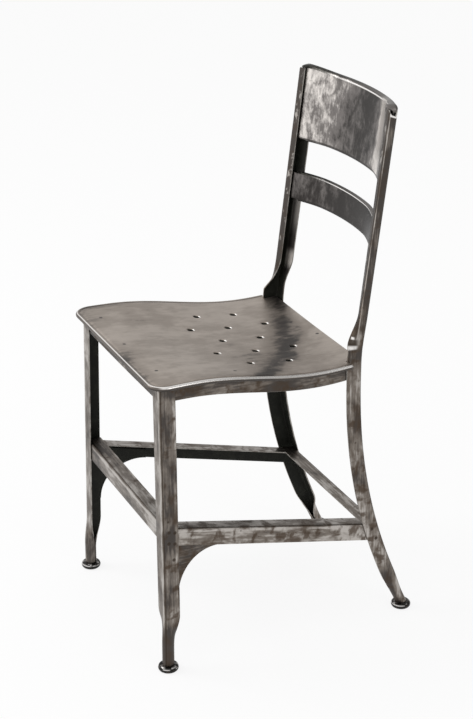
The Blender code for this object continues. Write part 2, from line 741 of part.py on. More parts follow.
def ankle_plug(name, x, y, lean, material, collection, cutters):
    """Plug inside an ankle ring, bored for the glide's nail; a rear one leans with its leg."""
    radius = ANKLE_RADIUS - LEG_SHEET - 2 * FIT_GAP
    mesh = rod_mesh(name, radius, PLUG_LENGTH, 16)
    mesh.transform(Matrix(((1, 0, 0, 0), (0, 1, lean, 0), (0, 0, 1, 0), (0, 0, 0, 1))))
    plug = add_object(name, mesh, material, collection)
    plug.location = (x, y, LEG_BOTTOM)
    bore_mesh = rod_mesh(f"{name}_bore", NAIL_RADIUS + FIT_GAP, 2 * NAIL_LENGTH, 12)
    bore = cutter(f"{name}_bore", bore_mesh, cutters)
    bore.location = (x, y, GLIDE_HEIGHT + 2 * FIT_GAP - NAIL_LENGTH)
    cut(plug, bore)
    return plug


def build():
    for old in list(bpy.data.objects):
        bpy.data.objects.remove(old, do_unlink=True)
    chair = bpy.data.collections.new("steel_classroom_chair")
    cutters = bpy.data.collections.new("cutters")
    bpy.context.scene.collection.children.link(chair)
    bpy.context.scene.collection.children.link(cutters)

    leg_steel = finish("mottled_leg_steel", (0.12, 0.11, 0.10), 0.42)
    rail_steel = finish("mottled_rail_steel", (0.13, 0.12, 0.11), 0.42)
    seat_steel = finish("seat_steel", (0.26, 0.24, 0.22), 0.38)
    slat_steel = finish("polished_slat_steel", (0.24, 0.22, 0.20), 0.32)
    plug_steel = finish("plug_steel", (0.08, 0.08, 0.08), 0.6)
    glide_steel = finish("dark_glide_steel", (0.03, 0.03, 0.03), 0.25)

    seat_pan(seat_steel, chair, cutters)
    apron_cross("apron_front", front_plane, 1.0, rail_steel, chair)
    apron_cross("apron_rear", rear_plane_y, -1.0, rail_steel, chair)
    stretcher_front(rail_steel, chair)
    stretcher_rear(rail_steel, chair)
    slat("crest_rail", CREST_BOTTOM, CREST_TOP, CREST_ROLL, True, slat_steel, chair)
    slat("back_slat", SLAT_BOTTOM, SLAT_TOP, SLAT_ROLL, False, slat_steel, chair)
    feet = {"front": (FRONT_FOOT_X, FRONT_FOOT_Y, 0.0), "rear": (REAR_FOOT_X, REAR_FOOT_Y, foot_lean())}
    for label in SIDES:
        side = handed(label)
        front_leg(f"front_leg_{label}", side, leg_steel, chair)
        back_leg(f"back_leg_{label}", side, leg_steel, chair)
        apron_side(f"apron_{label}", side, rail_steel, chair)
        stretcher_side(f"stretcher_{label}", side, rail_steel, chair)
        gusset(f"gusset_{label}", side, rail_steel, chair)
        for end, (x, y, lean) in feet.items():
            foot_glide(f"foot_glide_{end}_{label}", side * x, y, glide_steel, chair)
            ankle_plug(f"ankle_plug_{end}_{label}", side * x, y, lean, plug_steel, chair, cutters)


build()
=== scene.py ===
"""Steel classroom chair: finer pressed-sheet surfaces, their finishes and a plain studio.

The chair faces -Y, +X is the sitter's left, +Z is up and the floor is Z = 0. Units are metres.
"""
import math

import bpy
import numpy as np
from bpy.props import FloatProperty, FloatVectorProperty, PointerProperty
from mathutils import Matrix, Vector


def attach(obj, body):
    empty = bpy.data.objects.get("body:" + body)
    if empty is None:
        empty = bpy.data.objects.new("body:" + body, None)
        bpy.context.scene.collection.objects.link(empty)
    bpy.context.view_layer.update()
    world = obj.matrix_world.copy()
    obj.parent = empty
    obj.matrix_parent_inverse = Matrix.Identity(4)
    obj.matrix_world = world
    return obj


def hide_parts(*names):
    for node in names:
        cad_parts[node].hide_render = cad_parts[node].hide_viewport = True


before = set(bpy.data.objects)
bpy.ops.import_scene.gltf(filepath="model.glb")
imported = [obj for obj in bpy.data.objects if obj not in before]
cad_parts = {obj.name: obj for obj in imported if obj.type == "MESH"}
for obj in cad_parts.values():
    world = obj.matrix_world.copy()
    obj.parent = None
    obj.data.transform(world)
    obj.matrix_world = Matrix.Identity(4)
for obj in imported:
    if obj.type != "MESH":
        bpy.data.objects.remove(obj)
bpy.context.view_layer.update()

bl_info = {
    "name": "Steel Classroom Chair",
    "version": (1, 0, 0),
    "blender": (4, 5, 0),
    "location": "View3D > Sidebar > Chair",
    "description": "Dresses a pressed-steel classroom chair and sets it in a plain studio",
    "category": "Object",
}

PHOTO_HEIGHT = 719
SENSOR = 36.0
SIDES = {"left": 1.0, "right": -1.0}
SIDEWAYS, LENGTHWAYS, UPRIGHT = range(3)
MILLIMETRE = 0.001

# Numbers of points across flat strips, round folds and along pieces
FLANGE_STEPS, FOLD_STEPS = 9, 7
LIP_STEPS, LIP_FOLD_STEPS, WEB_STEPS = 4, 6, 3
SIDE_STEPS = LIP_STEPS + LIP_FOLD_STEPS + WEB_STEPS
RAIL_FACE_STEPS, RAIL_FOLD_STEPS = 7, 5
SIDE_RAIL_STEPS, CROSS_RAIL_STEPS = 60, 49
GUSSET_EDGE_STEPS, GUSSET_ROWS = 21, 16
GLIDE_SIDES, GLIDE_EDGE_STEPS = 64, 17
SLAT_POST_STEPS, SLAT_ARC_STEPS, SLAT_ROWS = 8, 36, 24
HEM_STEPS, ROLL_STEPS, BEAD_STEPS = 10, 30, 17
CORNER_ROWS, SIDE_COLUMNS = 16, 28

# Middle lines of the folds, and where the outline of a post's top has its corners
REAR_FOLD = SIDE_STEPS + FOLD_STEPS // 2
RAIL_FOLD = RAIL_FACE_STEPS + RAIL_FOLD_STEPS // 2
POST_TOP_COLUMNS = (0, 4, 10, 14, 17)

# Turns of rolled edges in degrees, and the sharpest bend that is shaded smooth
HEM_TURN, ROLL_TURN, BEAD_TURN = 165.0, 300.0, 285.0
SHARP_DEGREES = 40

# Shares and powers that shape an edge, a fold, the slats' ends and the seat's columns
EDGE_CROWN = 0.3
LIP_HASTE = 2.5
SLAT_END = (0.45, 0.95)
ROLL_REACH = 4
TIP_SLIT = 0.02
BEAD_TIP = 0.08
SIDE_CROWDING = 1.5
HEM_VALUE, HEM_REACH = -20.0, 0.015

# Vents: lattice cells between them, half the square that each takes, rings and the first of the neck, which is
# painted dark as shade, the dimple's form, and the bearing of the painted highlight on the mouth
VENT_CELLS_X, VENT_CELLS_Y = 24, 30
VENT_BLOCK = 3
LATTICE_HALF = 54
VENT_RINGS, VENT_NECK = 10, 4
VENT_THROAT, VENT_FLARE, VENT_PLUNGE = 0.6, 1.6, 1.5
GLINT_BEARING = 75.0

# Rounds in which two lines that depend on each other settle
SETTLING_ROUNDS = 12


# Settings

def length(name, description, default):
    """A setting in metres."""
    return FloatProperty(name=name, description=description, default=default, unit="LENGTH", precision=5)


def angle(name, description, degrees):
    """A setting given in degrees and kept in radians."""
    return FloatProperty(name=name, description=description, default=math.radians(degrees), subtype="ANGLE")


def number(name, description, default):
    """A setting without a unit."""
    return FloatProperty(name=name, description=description, default=default)


def colour(name, description, default):
    """A setting of three linear colour parts."""
    return FloatVectorProperty(name=name, description=description, default=default, subtype="COLOR")


class ChairSizes(bpy.types.PropertyGroup):
    """Sizes of the chair's pieces."""
    leg_sheet: length("Leg sheet", "Gauge of the legs", 0.0020)
    rail_sheet: length("Rail sheet", "Gauge of the rails and gussets", 0.0018)
    seat_sheet: length("Seat sheet", "Gauge of the seat pan", 0.0015)
    slat_sheet: length("Slat sheet", "Gauge of the crest rail and slat", 0.0015)
    fit_gap: length("Fit gap", "Gap between pieces that lie on each other", 0.0003)
    fold_round: length("Fold round", "From a fold's corner to where its round starts", 0.0045)

    foot_span: length("Foot span", "From the front foot axes to the rear ones", 0.4070)
    front_foot_x: length("Front foot", "From the middle to a front foot axis", 0.1690)
    rear_foot_x: length("Rear foot", "From the middle to a rear foot axis", 0.1464)
    seat_height: length("Seat height", "Floor to the seat's front edge", 0.4575)
    back_height: length("Back height", "Floor to the top of the crest rail", 0.8095)

    ankle_radius: length("Ankle radius", "Outer radius of a rounded ankle", 0.0090)
    ankle_inset: length("Ankle inset", "From a leg's outer face to its foot axis", 0.0058)
    ankle_seam: angle("Ankle seam", "Opening left in the rounded ankle", 36)
    ankle_top: length("Ankle top", "Where a front ankle starts to open", 0.0440)
    taper_top: length("Taper top", "Where a front leg is a full angle", 0.0980)
    ankle_flare: length("Ankle flare", "How much lower the side of a front leg opens than its face", 0.0080)
    rear_ankle_top: length("Rear ankle top", "Where a rear ankle starts to open", 0.0200)
    rear_taper_top: length("Rear taper top", "Where a rear leg is a full angle", 0.0720)
    glide_radius: length("Glide radius", "Radius of a glide", 0.0155)
    glide_height: length("Glide height", "Height of a glide", 0.0095)
    glide_edge: length("Glide edge", "Width of a glide's rounded edge", 0.0040)

    front_leg_top_x: length("Front leg top", "From the middle to a front leg's corner at the seat", 0.1585)
    front_leg_face: length("Front leg face", "Width of a front leg seen from the front", 0.0250)
    front_leg_side: length("Front leg side", "Width of a front leg seen from the side", 0.0245)
    frame_depth: length("Frame depth", "Front face of the front legs to the back of the rear ones", 0.3284)
    rear_leg_top_x: length("Rear leg top", "From the middle to a rear leg's corner at the seat", 0.1456)
    rear_leg_web: length("Rear leg web", "Width of a rear leg seen from the side", 0.0258)
    rear_leg_flange: length("Rear leg flange", "Width of a rear leg seen from behind", 0.0215)
    sweep_below_seat: length("Sweep start", "Below the seat, where the rear legs start to sweep", 0.0475)
    sweep_power: number("Sweep power", "How late the rear legs sweep back", 2.15)

    knee_above_seat: length("Knee start", "Above the seat, where the leg starts to become a post", 0.0030)
    knee_length: length("Knee length", "Height over which the leg becomes a post", 0.0460)
    lip_start: length("Lip start", "Below the seat, where the web's front strip starts to fold in", 0.0050)
    lip_turn: length("Lip turn", "Height over which that strip folds in to a lip", 0.0600)
    bend_below_seat: length("Bend start", "Below the seat, where the posts start to lean", 0.0275)
    bend_length: length("Bend length", "Height over which the posts start to lean", 0.0300)
    back_lean: angle("Back lean", "Lean of the posts", 6.8)
    post_top_x: length("Post top", "From the middle to a post's corner at its top", 0.1445)
    post_turn: angle("Post turn", "Turn of a post's rear flange towards the middle", 16)
    post_flare: angle("Post flare", "Turn of a post's side outwards to the front", 2)
    post_lip: length("Post lip", "Width of a post's front lip", 0.0140)
    post_depth: length("Post depth", "Depth of a post at the knee", 0.0135)
    post_depth_top: length("Post depth at top", "Depth of a post at its top", 0.0150)
    post_flange: length("Post flange", "Width of a post's rear flange", 0.0260)
    post_drop: length("Post drop", "From the crest rail's top edge down to the posts' tops", 0.0041)
    lip_rise: length("Lip rise", "How far a post's lip rises at its top", 0.0080)
    web_rise: length("Web rise", "How far a post's side rises at its front fold", 0.0010)
    web_dip: length("Web dip", "How far a post's side dips before its rear flange", 0.0015)
    flange_rise: length("Flange rise", "How far a post's rear flange rises above its side", 0.0060)

    crest_height: length("Crest height", "Flat height of the crest rail", 0.1043)
    crest_roll: length("Crest roll", "Radius of the crest rail's rolled top", 0.0046)
    roll_end_inset: length("Roll inset", "From a post's corner to the end of the crest's roll", 0.0020)
    crest_ears: length("Crest ears", "How much higher the crest rail's top is at its ends", 0.0050)
    crest_corner: length("Crest corner", "Length of the crest roll's ends that turn down", 0.0100)
    crest_drop: length("Crest drop", "How far the crest roll's ends turn down", 0.0035)
    crest_knob: length("Crest knob", "How far the crest roll's ends come forward over the lips", 0.0080)
    knob_length: length("Knob length", "Length of the crest roll's ends that come forward", 0.0180)
    slat_forward: length("Slat forward", "How far the slats' ends stand before the posts' rear flanges", 0.0060)
    slat_height: length("Slat height", "Flat height of the lower slat", 0.0400)
    slat_roll: length("Slat roll", "Radius of the lower slat's rolled top", 0.0028)
    slat_spacing: length("Slat spacing", "Opening between crest rail and slat", 0.0552)
    hem_round: length("Hem round", "Radius of the hems under crest rail and slat", 0.0022)

    seat_front_overhang: length("Seat front", "How far the seat stands before the legs", 0.0140)
    seat_side_overhang: length("Seat sides", "How far the seat stands outside the legs", 0.0138)
    seat_corner: length("Seat corner", "Radius of the seat's front corners", 0.0280)
    bead_round: length("Bead round", "Radius of the seat's rolled bead", 0.0028)
    seat_ridge_y: length("Ridge place", "From the seat's front edge to its highest line", 0.0600)
    seat_ridge_rise: length("Ridge rise", "Rise from the seat's front edge to that line", 0.0012)
    seat_hollow_y: length("Hollow place", "From the seat's front edge to its lowest line", 0.2750)
    seat_hollow_drop: length("Hollow drop", "Fall from the highest line to the lowest", 0.0231)
    seat_rear_rise: length("Rear rise", "Rise from the lowest line to the posts", 0.0050)
    seat_dish: length("Dish", "Depth of the seat's middle below its sides", 0.0121)
    seat_dish_rear: length("Rear dish", "The same at the rear", 0.0016)
    seat_dish_run: length("Dish run", "From the front edge to where the dish is whole", 0.1500)
    seat_dish_power: number("Dish power", "How flat the dish is at the sides", 1.3)
    bead_lap: length("Bead lap", "How far the bead runs on beside the posts", 0.0055)
    seat_rear_play: length("Rear play", "Gap between the seat and the rear flanges", 0.0035)
    post_slot_play: length("Slot play", "Gap between the seat and a post's inner face", 0.0020)
    groove_depth: length("Groove depth", "Depth of the groove pressed inside the bead", 0.0010)
    groove_place: length("Groove place", "From the bead to the bottom of that groove", 0.0032)
    groove_width: length("Groove width", "Half width of that groove", 0.0018)
    vent_radius: length("Vent radius", "Radius of the sheet's middle at a vent's neck", 0.0051)
    vent_mouth: length("Vent mouth", "Radius at which a vent's dimple starts", 0.0064)
    vent_depth: length("Vent depth", "Depth of a vent's neck", 0.0036)
    vent_row_spacing: length("Vent rows", "From one row of vents to the next, across the seat", 0.0504)
    vent_pitch: length("Vent pitch", "From one vent of a row to the next", 0.0624)
    vent_first_y: length("First vent", "From the seat's front edge to the first vent of an outer row", 0.1495)

    apron_height: length("Apron height", "Height of the rails under the seat", 0.0275)
    apron_flange: length("Apron flange", "Width of their flanges", 0.0140)
    front_stretcher_top: length("Front stretcher", "Floor to the front stretcher's upper face", 0.2360)
    rear_stretcher_drop: length("Stretcher fall", "Fall of the side stretchers to the rear", 0.0702)
    stretcher_height: length("Stretcher height", "Height of the stretchers", 0.0278)
    stretcher_flange: length("Stretcher flange", "Width of their upper flanges", 0.0220)
    gusset_radius: length("Gusset radius", "Radius of a gusset's open edge", 0.0630)
    gusset_lap: length("Gusset lap", "How far a gusset lies behind leg and stretcher", 0.0150)
    gusset_step: length("Gusset step", "Height over which a gusset steps behind the stretcher", 0.0500)


class ChairFinishes(bpy.types.PropertyGroup):
    """Colours of the steel, its patina and the old enamel."""
    # steel is also reached by the legs' painted light: front faces, fold highlights and the glints on the
    # posts' bare flanges.
    steel: colour("Steel", "Lightest steel of legs and rails", (0.46, 0.43, 0.40))
    bronze: colour("Bronzed steel", "Usual tone of legs and rails", (0.195, 0.170, 0.148))
    # shadow is also the painted shade on the underside of the seat's bead.
    shadow: colour("Dark steel", "Dark streaks on legs and rails", (0.075, 0.066, 0.060))
    # Also painted shade: the dark line along the folds of legs and rails, and the dark up the knees' shoulders.
    stain_and_shade: colour("Stain", "Brown blotches on legs and rails", (0.048, 0.036, 0.027))
    rust: colour("Rust", "Brown patches of the pressed steel", (0.082, 0.058, 0.041))
    seat_steel: colour("Seat steel", "Lightest satin steel of the seat", (0.485, 0.428, 0.378))
    seat_mid: colour("Seat middle", "Usual tone of the seat", (0.357, 0.310, 0.270))
    # Also painted shade: in the groove inside the bead, on the front bead below its highlight, in the dark
    # reflection band across the seat and towards its front.
    seat_stain_and_shade: colour("Seat stain", "Dark smudges on the seat", (0.085, 0.076, 0.070))
    # bead is the colour of every painted highlight: on the seat's bead and vents, the knees, the posts' tops,
    # the slats' rolls and the glides.
    bead: colour("Bead", "Bright steel of the seat's bead", (0.86, 0.835, 0.81))
    # Also the light of the painted reflections on the crest rail.
    slat_steel: colour("Slat steel", "Lightest polished steel of crest rail and slat", (0.86, 0.81, 0.765))
    slat_mid: colour("Slat middle", "Usual tone of crest rail and slat", (0.185, 0.170, 0.162))
    # Also painted shade on the slats' hems, and the posts' bare flanges between their painted glints.
    slat_stain_and_shade: colour("Slat stain", "Dark streaks on crest rail and slat", (0.040, 0.036, 0.034))
    # enamel is also the dark of the painted shade over the slats' rolls, darkest at their right ends, and of
    # the vents' necks.
    enamel: colour("Old enamel", "Dark enamel left on the inner faces", (0.0105, 0.0108, 0.0082))
    # edge is also the painted highlight along the posts' tops.
    edge: colour("Edge", "Bright worn edges of the sheets", (0.42, 0.40, 0.37))
    glide: colour("Glide", "Blackened steel of the glides", (0.016, 0.015, 0.014))
    plug: colour("Plug", "Steel of the ankle plugs", (0.10, 0.09, 0.08))


class ChairStudio(bpy.types.PropertyGroup):
    """Camera and floor."""
    camera_place: FloatVectorProperty(
        name="Camera place", description="Where the camera stands", subtype="XYZ", unit="LENGTH",
        default=(2.2291, -1.02675, 1.4324))
    azimuth: angle("Azimuth", "Turn of the view about the vertical, from looking along +Y", 65.63)
    elevation: angle("Elevation", "How far the camera looks down", 22.79)
    roll: angle("Roll", "Turn of the picture about the line of sight", 0.39)
    focal_pixels: number("Focal length", "Focal length in pixels of the picture", 1744.5)
    floor: colour("Floor", "Colour of the floor", (0.92, 0.92, 0.92))


# Lines of the frame

def smooth(low, high, value):
    """0 below low, 1 above high, an S-curve between."""
    t = np.clip((value - low) / (high - low), 0.0, 1.0)
    return t * t * (3 - 2 * t)


def lerp(a, b, t):
    """From a to b by the share t."""
    return a + (b - a) * t


def stations(*marks):
    """Values from (value, number of even steps up to the next one) pairs."""
    runs = [np.linspace(low, high, count, endpoint=False)
            for (low, count), (high, _) in zip(marks[:-1], marks[1:])]
    return np.concatenate(runs + [[marks[-1][0]]])


def straight(start, end, count):
    """Rows of evenly spaced points from one row of places to another."""
    return lerp(start[:, None], end[:, None], np.linspace(0.0, 1.0, count)[None, :, None])


def rounded(before, corner, after, count):
    """Points strictly between two tangent points, on the parabola whose tangents meet at the corner."""
    t = np.linspace(0.0, 1.0, count + 2)[None, 1:-1, None]
    return (1 - t) ** 2 * before[:, None] + 2 * t * (1 - t) * corner[:, None] + t ** 2 * after[:, None]


def towards(start, end, distance):
    """Points at a distance from the start on the straight lines to the end."""
    return start + (end - start) * (distance / np.linalg.norm(end - start, axis=-1, keepdims=True))


def plan(x, y):
    """Rows of places in plan from two arrays of the same length."""
    return np.stack(np.broadcast_arrays(x, y), axis=-1)


class ChairLines:
    """Planes, lines and sections that the pieces are drawn from; heights z are whole arrays."""

    def __init__(self, sizes):
        self.size = s = sizes
        lead = s.ankle_inset + s.seat_front_overhang - s.glide_radius
        self.front_foot_y = (lead - s.foot_span) / 2
        self.rear_foot_y = self.front_foot_y + s.foot_span
        self.face_y = self.front_foot_y - s.ankle_inset
        self.seat_front_y = self.face_y - s.seat_front_overhang
        self.web_y = self.face_y + s.frame_depth - s.rear_leg_web / 2
        self.leg_bottom = s.glide_height + s.fit_gap
        self.behind_flange = s.leg_sheet + s.fit_gap
        self.rail_mid = self.behind_flange + s.rail_sheet / 2
        self.corner_clear = s.leg_sheet + s.fold_round
        self.sweep_top = s.seat_height - s.sweep_below_seat
        self.bend_low = s.seat_height - s.bend_below_seat
        self.bend_high = self.bend_low + s.bend_length
        self.knee_low = s.seat_height + s.knee_above_seat
        self.knee_high = self.knee_low + s.knee_length
        self.fold_low = s.seat_height - s.lip_start
        self.fold_high = self.fold_low + s.lip_turn
        self.crest_top = s.back_height - s.crest_roll
        self.post_top = self.crest_top - s.post_drop
        self.crest_bottom = self.crest_top - s.crest_height
        self.slat_top = self.crest_bottom - s.slat_spacing
        self.slat_bottom = self.slat_top - s.slat_height
        self.side_top_front = s.front_stretcher_top - s.rail_sheet - s.fit_gap

    def front_corner_x(self, z):
        """Outer corner of a front leg, which splays outwards to the floor."""
        s = self.size
        return lerp(s.front_foot_x + s.ankle_inset, s.front_leg_top_x, z / s.seat_height)

    def rear_corner_x(self, z):
        """Outer corner of a rear leg and post: two straight lines that meet at the seat."""
        s = self.size
        leg = lerp(s.rear_foot_x + s.ankle_inset, s.rear_leg_top_x, z / s.seat_height)
        rise = (z - s.seat_height) / (s.back_height - s.seat_height)
        post = lerp(s.rear_leg_top_x, s.post_top_x, rise)
        return np.where(z < s.seat_height, leg, post)

    def rear_web_y(self, z):
        """Middle of the rear leg's side: swept back by a power of the drop, leaning back above the seat."""
        s = self.size
        reach = np.clip((self.sweep_top - z) / (self.sweep_top - s.glide_height), 0.0, None)
        sweep = (self.rear_foot_y - self.web_y) * reach ** s.sweep_power
        bend = np.clip(z - self.bend_low, 0.0, s.bend_length)
        lean = bend ** 2 / (2 * s.bend_length) + np.clip(z - self.bend_high, 0.0, None)
        return self.web_y + sweep + math.tan(s.back_lean) * lean

    def rear_corner_y(self, z):
        """Outer face of the rear flanges: half a web behind the middle of the rear leg's side."""
        return self.rear_web_y(z) + self.size.rear_leg_web / 2

    def side_x(self, y, z):
        """Outer face of a chair side: a ruled surface from the front corner line to the rear one."""
        share = (y - self.face_y) / (self.rear_corner_y(z) - self.face_y)
        return lerp(self.front_corner_x(z), self.rear_corner_x(z), share)

    def front_plane_y(self, z, depth):
        """A plane parallel to the front legs' faces, the given depth behind them."""
        return np.full_like(z, self.face_y + depth)

    def rear_plane_y(self, z, depth):
        """A surface parallel to the rear flanges, the given depth before their outer face."""
        run = self.rear_corner_y(z + MILLIMETRE) - self.rear_corner_y(z - MILLIMETRE)
        slope = run / (2 * MILLIMETRE)
        return self.rear_corner_y(z) - depth * np.sqrt(1 + slope ** 2)

    def seat_half_width(self, y):
        """From the chair's middle to where the seat's edge starts to roll."""
        s = self.size
        height = np.full_like(y, s.seat_height)
        return self.side_x(y, height) + s.seat_side_overhang - s.bead_round - s.seat_sheet / 2

    def seat_mid(self, x, y):
        """Middle of the seat sheet: a cosine fall from the ridge to the hollow, less a dish across."""
        s = self.size
        ridge_y = self.seat_front_y + s.seat_ridge_y
        hollow_y = self.seat_front_y + s.seat_hollow_y
        rear_y = self.face_y + s.frame_depth
        fall = s.seat_ridge_rise * np.clip((ridge_y - y) / s.seat_ridge_y, 0.0, None) ** 2
        swing = np.clip((y - ridge_y) / (hollow_y - ridge_y), 0.0, 1.0)
        hollow = s.seat_hollow_drop * (1 - np.cos(math.pi * swing)) / 2
        rise = s.seat_rear_rise * np.clip((y - hollow_y) / (rear_y - hollow_y), 0.0, None) ** 2
        across = np.clip(x / self.seat_half_width(y), -1.0, 1.0)
        dish = lerp(s.seat_dish, s.seat_dish_rear, smooth(ridge_y, hollow_y, y))
        dish = dish * smooth(self.seat_front_y, self.seat_front_y + s.seat_dish_run, y)
        dish = dish * (1 - across ** 2) ** s.seat_dish_power
        return s.seat_height + s.seat_ridge_rise - fall - hollow + rise - dish - s.seat_sheet / 2

    def seat_under(self, x, y):
        """Height at which a piece under the seat sheet stops."""
        return self.seat_mid(x, y) - self.size.seat_sheet / 2 - self.size.fit_gap

    def side_stretcher_top(self, y):
        """Upper face of a side stretcher, which falls towards the rear leg."""
        s = self.size
        share = (y - self.face_y - self.corner_clear) / s.frame_depth
        return self.side_top_front - s.rear_stretcher_drop * share

    def ankle_ring(self, x, y, corner_angle, count):
        """An almost closed circle whose seam faces away from the fold of the leg."""
        s = self.size
        radius = s.ankle_radius - s.leg_sheet / 2
        half = math.pi - s.ankle_seam / 2
        angles = corner_angle + np.linspace(-half, half, count)
        return np.stack([x[:, None] + radius * np.cos(angles), y[:, None] + radius * np.sin(angles)], axis=-1)

    def front_leg_section(self, z):
        """L-section from the inner edge of the front face round to the rear edge of the side, over a ring."""
        s = self.size
        half = s.leg_sheet / 2
        side_end = self.face_y + s.front_leg_side
        corner = plan(self.front_corner_x(z) - half, self.face_y + half)
        inner = plan(self.front_corner_x(z) - s.front_leg_face, self.face_y + half)
        rear = plan(self.side_x(side_end, z) - half, side_end)
        before = towards(corner, inner, s.fold_round)
        after = towards(corner, rear, s.fold_round)
        fold = np.concatenate([
            straight(inner, before, FLANGE_STEPS), rounded(before, corner, after, FOLD_STEPS),
            straight(after, rear, FLANGE_STEPS)], axis=1)
        middle = np.full_like(z, s.front_foot_x)
        ring = self.ankle_ring(middle, np.full_like(z, self.front_foot_y), -math.pi / 4, fold.shape[1])
        sides = np.clip(np.linspace(-1.0, 1.0, fold.shape[1]), 0.0, None)
        opened = smooth(s.ankle_top, s.taper_top, z[:, None] + s.ankle_flare * sides)
        return lerp(ring, fold, opened[:, :, None])

    def post_frame(self, z):
        """Rear outer corner of a post's mid-surface and its directions inwards and forwards."""
        s = self.size
        inwards = np.array([-math.cos(s.post_turn), math.sin(s.post_turn)])
        forwards = np.array([-math.sin(s.post_turn), -math.cos(s.post_turn)])
        outer = plan(self.rear_corner_x(z), self.rear_corner_y(z))
        return outer + (inwards + forwards) * s.leg_sheet / 2, inwards, forwards

    def post_section(self, z):
        """Web and flange of a rear leg; above the seat the web's front strip folds in to the post's lip.

        The directions of web and flange go over from the leg's to the post's along the knee, and the
        strip before the post's depth turns about its fold from straight on to inwards.
        """
        s = self.size
        half = s.leg_sheet / 2
        knee = smooth(self.knee_low, self.knee_high, z)[:, None]
        x, y = self.rear_corner_x(z), self.rear_corner_y(z)
        front_y = y - s.rear_leg_web
        along_side = plan(self.side_x(front_y, z) - x, front_y - y) / s.rear_leg_web
        flared = np.array([math.sin(s.post_flare), -math.cos(s.post_flare)])
        _, turned, square = self.post_frame(z)
        forwards = lerp(along_side, flared, knee)
        inwards = lerp(np.array([-1.0, 0.0]), turned, knee)
        corner = plan(x, y) + (inwards + lerp(np.array([0.0, -1.0]), square, knee)) * half
        rise = np.clip((z - self.knee_high) / (s.back_height - self.knee_high), 0.0, 1.0)
        depth = lerp(s.post_depth, s.post_depth_top, rise)[:, None] - s.leg_sheet
        fold = corner + forwards * depth
        yet = np.clip((self.fold_high - z) / s.lip_turn, 0.0, 1.0)[:, None]
        turn = math.pi / 2 * (1 - yet ** LIP_HASTE)
        strip = lerp(s.rear_leg_web - half - depth, s.post_lip - half, knee)
        lip = fold + (forwards * np.cos(turn) + inwards * np.sin(turn)) * strip
        flange = corner + inwards * (lerp(s.rear_leg_flange, s.post_flange, knee) - half)
        lip_tangent = towards(fold, lip, s.fold_round)
        front_tangent = towards(fold, corner, s.fold_round)
        rear_tangent = towards(corner, fold, s.fold_round)
        flange_tangent = towards(corner, flange, s.fold_round)
        return np.concatenate([
            straight(lip, lip_tangent, LIP_STEPS), rounded(lip_tangent, fold, front_tangent, LIP_FOLD_STEPS),
            straight(front_tangent, rear_tangent, WEB_STEPS),
            rounded(rear_tangent, corner, flange_tangent, FOLD_STEPS),
            straight(flange_tangent, flange, FLANGE_STEPS)], axis=1)

    def rear_leg_section(self, z):
        """L-section: a web on the chair's side and a flange across its back."""
        s = self.size
        half = s.leg_sheet / 2
        back = self.rear_corner_y(z)
        corner = plan(self.rear_corner_x(z) - half, back - half)
        front_y = back - s.rear_leg_web
        front = plan(self.side_x(front_y, z) - half, front_y)
        flange = plan(self.rear_corner_x(z) - s.rear_leg_flange, back - half)
        before = towards(corner, front, s.fold_round)
        after = towards(corner, flange, s.fold_round)
        return np.concatenate([
            straight(front, before, SIDE_STEPS), rounded(before, corner, after, FOLD_STEPS),
            straight(after, flange, FLANGE_STEPS)], axis=1)

    def back_leg_section(self, z):
        """Ankle ring, then L-section, then J-channel, each flowing into the next."""
        s = self.size
        leg = self.rear_leg_section(z)
        middle = np.full_like(z, s.rear_foot_x)
        ring = self.ankle_ring(middle, self.rear_web_y(z), math.pi / 4, leg.shape[1])
        leg = lerp(ring, leg, smooth(s.rear_ankle_top, s.rear_taper_top, z)[:, None, None])
        share = smooth(self.sweep_top, self.fold_low, z)
        return lerp(leg, self.post_section(z), share[:, None, None])

    def slat_plan(self, z, inset):
        """Plan of a slat: flat on each post's rear flange, an arc of a circle between them.

        Each row's ends are inset from the posts' outer corners. Returns the rows of points from the
        left end to the right one, and the directions to the back.
        """
        s = self.size
        corner, inwards, forwards = self.post_frame(z)
        face = corner + forwards * (s.leg_sheet / 2 + s.fit_gap + s.slat_sheet / 2)
        end = face + inwards * inset[:, None]
        flange_end = face + inwards * (s.post_flange - s.leg_sheet / 2 + 2 * s.fit_gap)
        steps = np.linspace(0.0, 1.0, SLAT_POST_STEPS, endpoint=False) ** 2
        on_post = lerp(end[:, None], flange_end[:, None], steps[None, :, None])
        angles = np.linspace(s.post_turn, 0.0, SLAT_ARC_STEPS + 1)
        radius = flange_end[:, :1] / math.sin(s.post_turn)
        arc_y = flange_end[:, 1:] + radius * (np.cos(angles) - math.cos(s.post_turn))
        half = np.concatenate([on_post, np.stack([radius * np.sin(angles), arc_y], axis=-1)], axis=1)
        turn = np.concatenate([np.full(SLAT_POST_STEPS, s.post_turn), angles])
        whole = np.concatenate([half, half[:, -2::-1] * (-1.0, 1.0)], axis=1)
        turn = np.concatenate([turn, -turn[-2::-1]])
        return whole, np.stack([np.sin(turn), np.cos(turn)], axis=-1)


# Meshes

def grid_quads(rows, columns, flip=False):
    """Quads of a grid of points; their normals are columns x rows, or the opposite when flipped."""
    index = np.arange(rows * columns).reshape(rows, columns)
    quads = np.stack([index[:-1, :-1], index[:-1, 1:], index[1:, 1:], index[1:, :-1]], axis=-1)
    quads = quads.reshape(-1, 4)
    return quads[:, ::-1] if flip else quads


def point_normals(points, quads):
    """Unit normals: the sum, over the quads round a point, of the cross products of their diagonals."""
    a, b, c, d = (points[quads[:, i]] for i in range(4))
    total = np.zeros_like(points)
    np.add.at(total, quads, np.cross(c - a, d - b)[:, None, :])
    return total / np.linalg.norm(total, axis=1, keepdims=True)


def open_border(quads, count):
    """Edges that belong to one quad only, in that quad's own direction."""
    edges = np.concatenate([quads[:, [i, (i + 1) % 4]] for i in range(4)])
    keys = np.sort(edges, axis=1) @ np.array([count, 1])
    _, first, copies = np.unique(keys, return_index=True, return_counts=True)
    return edges[first[copies == 1]]


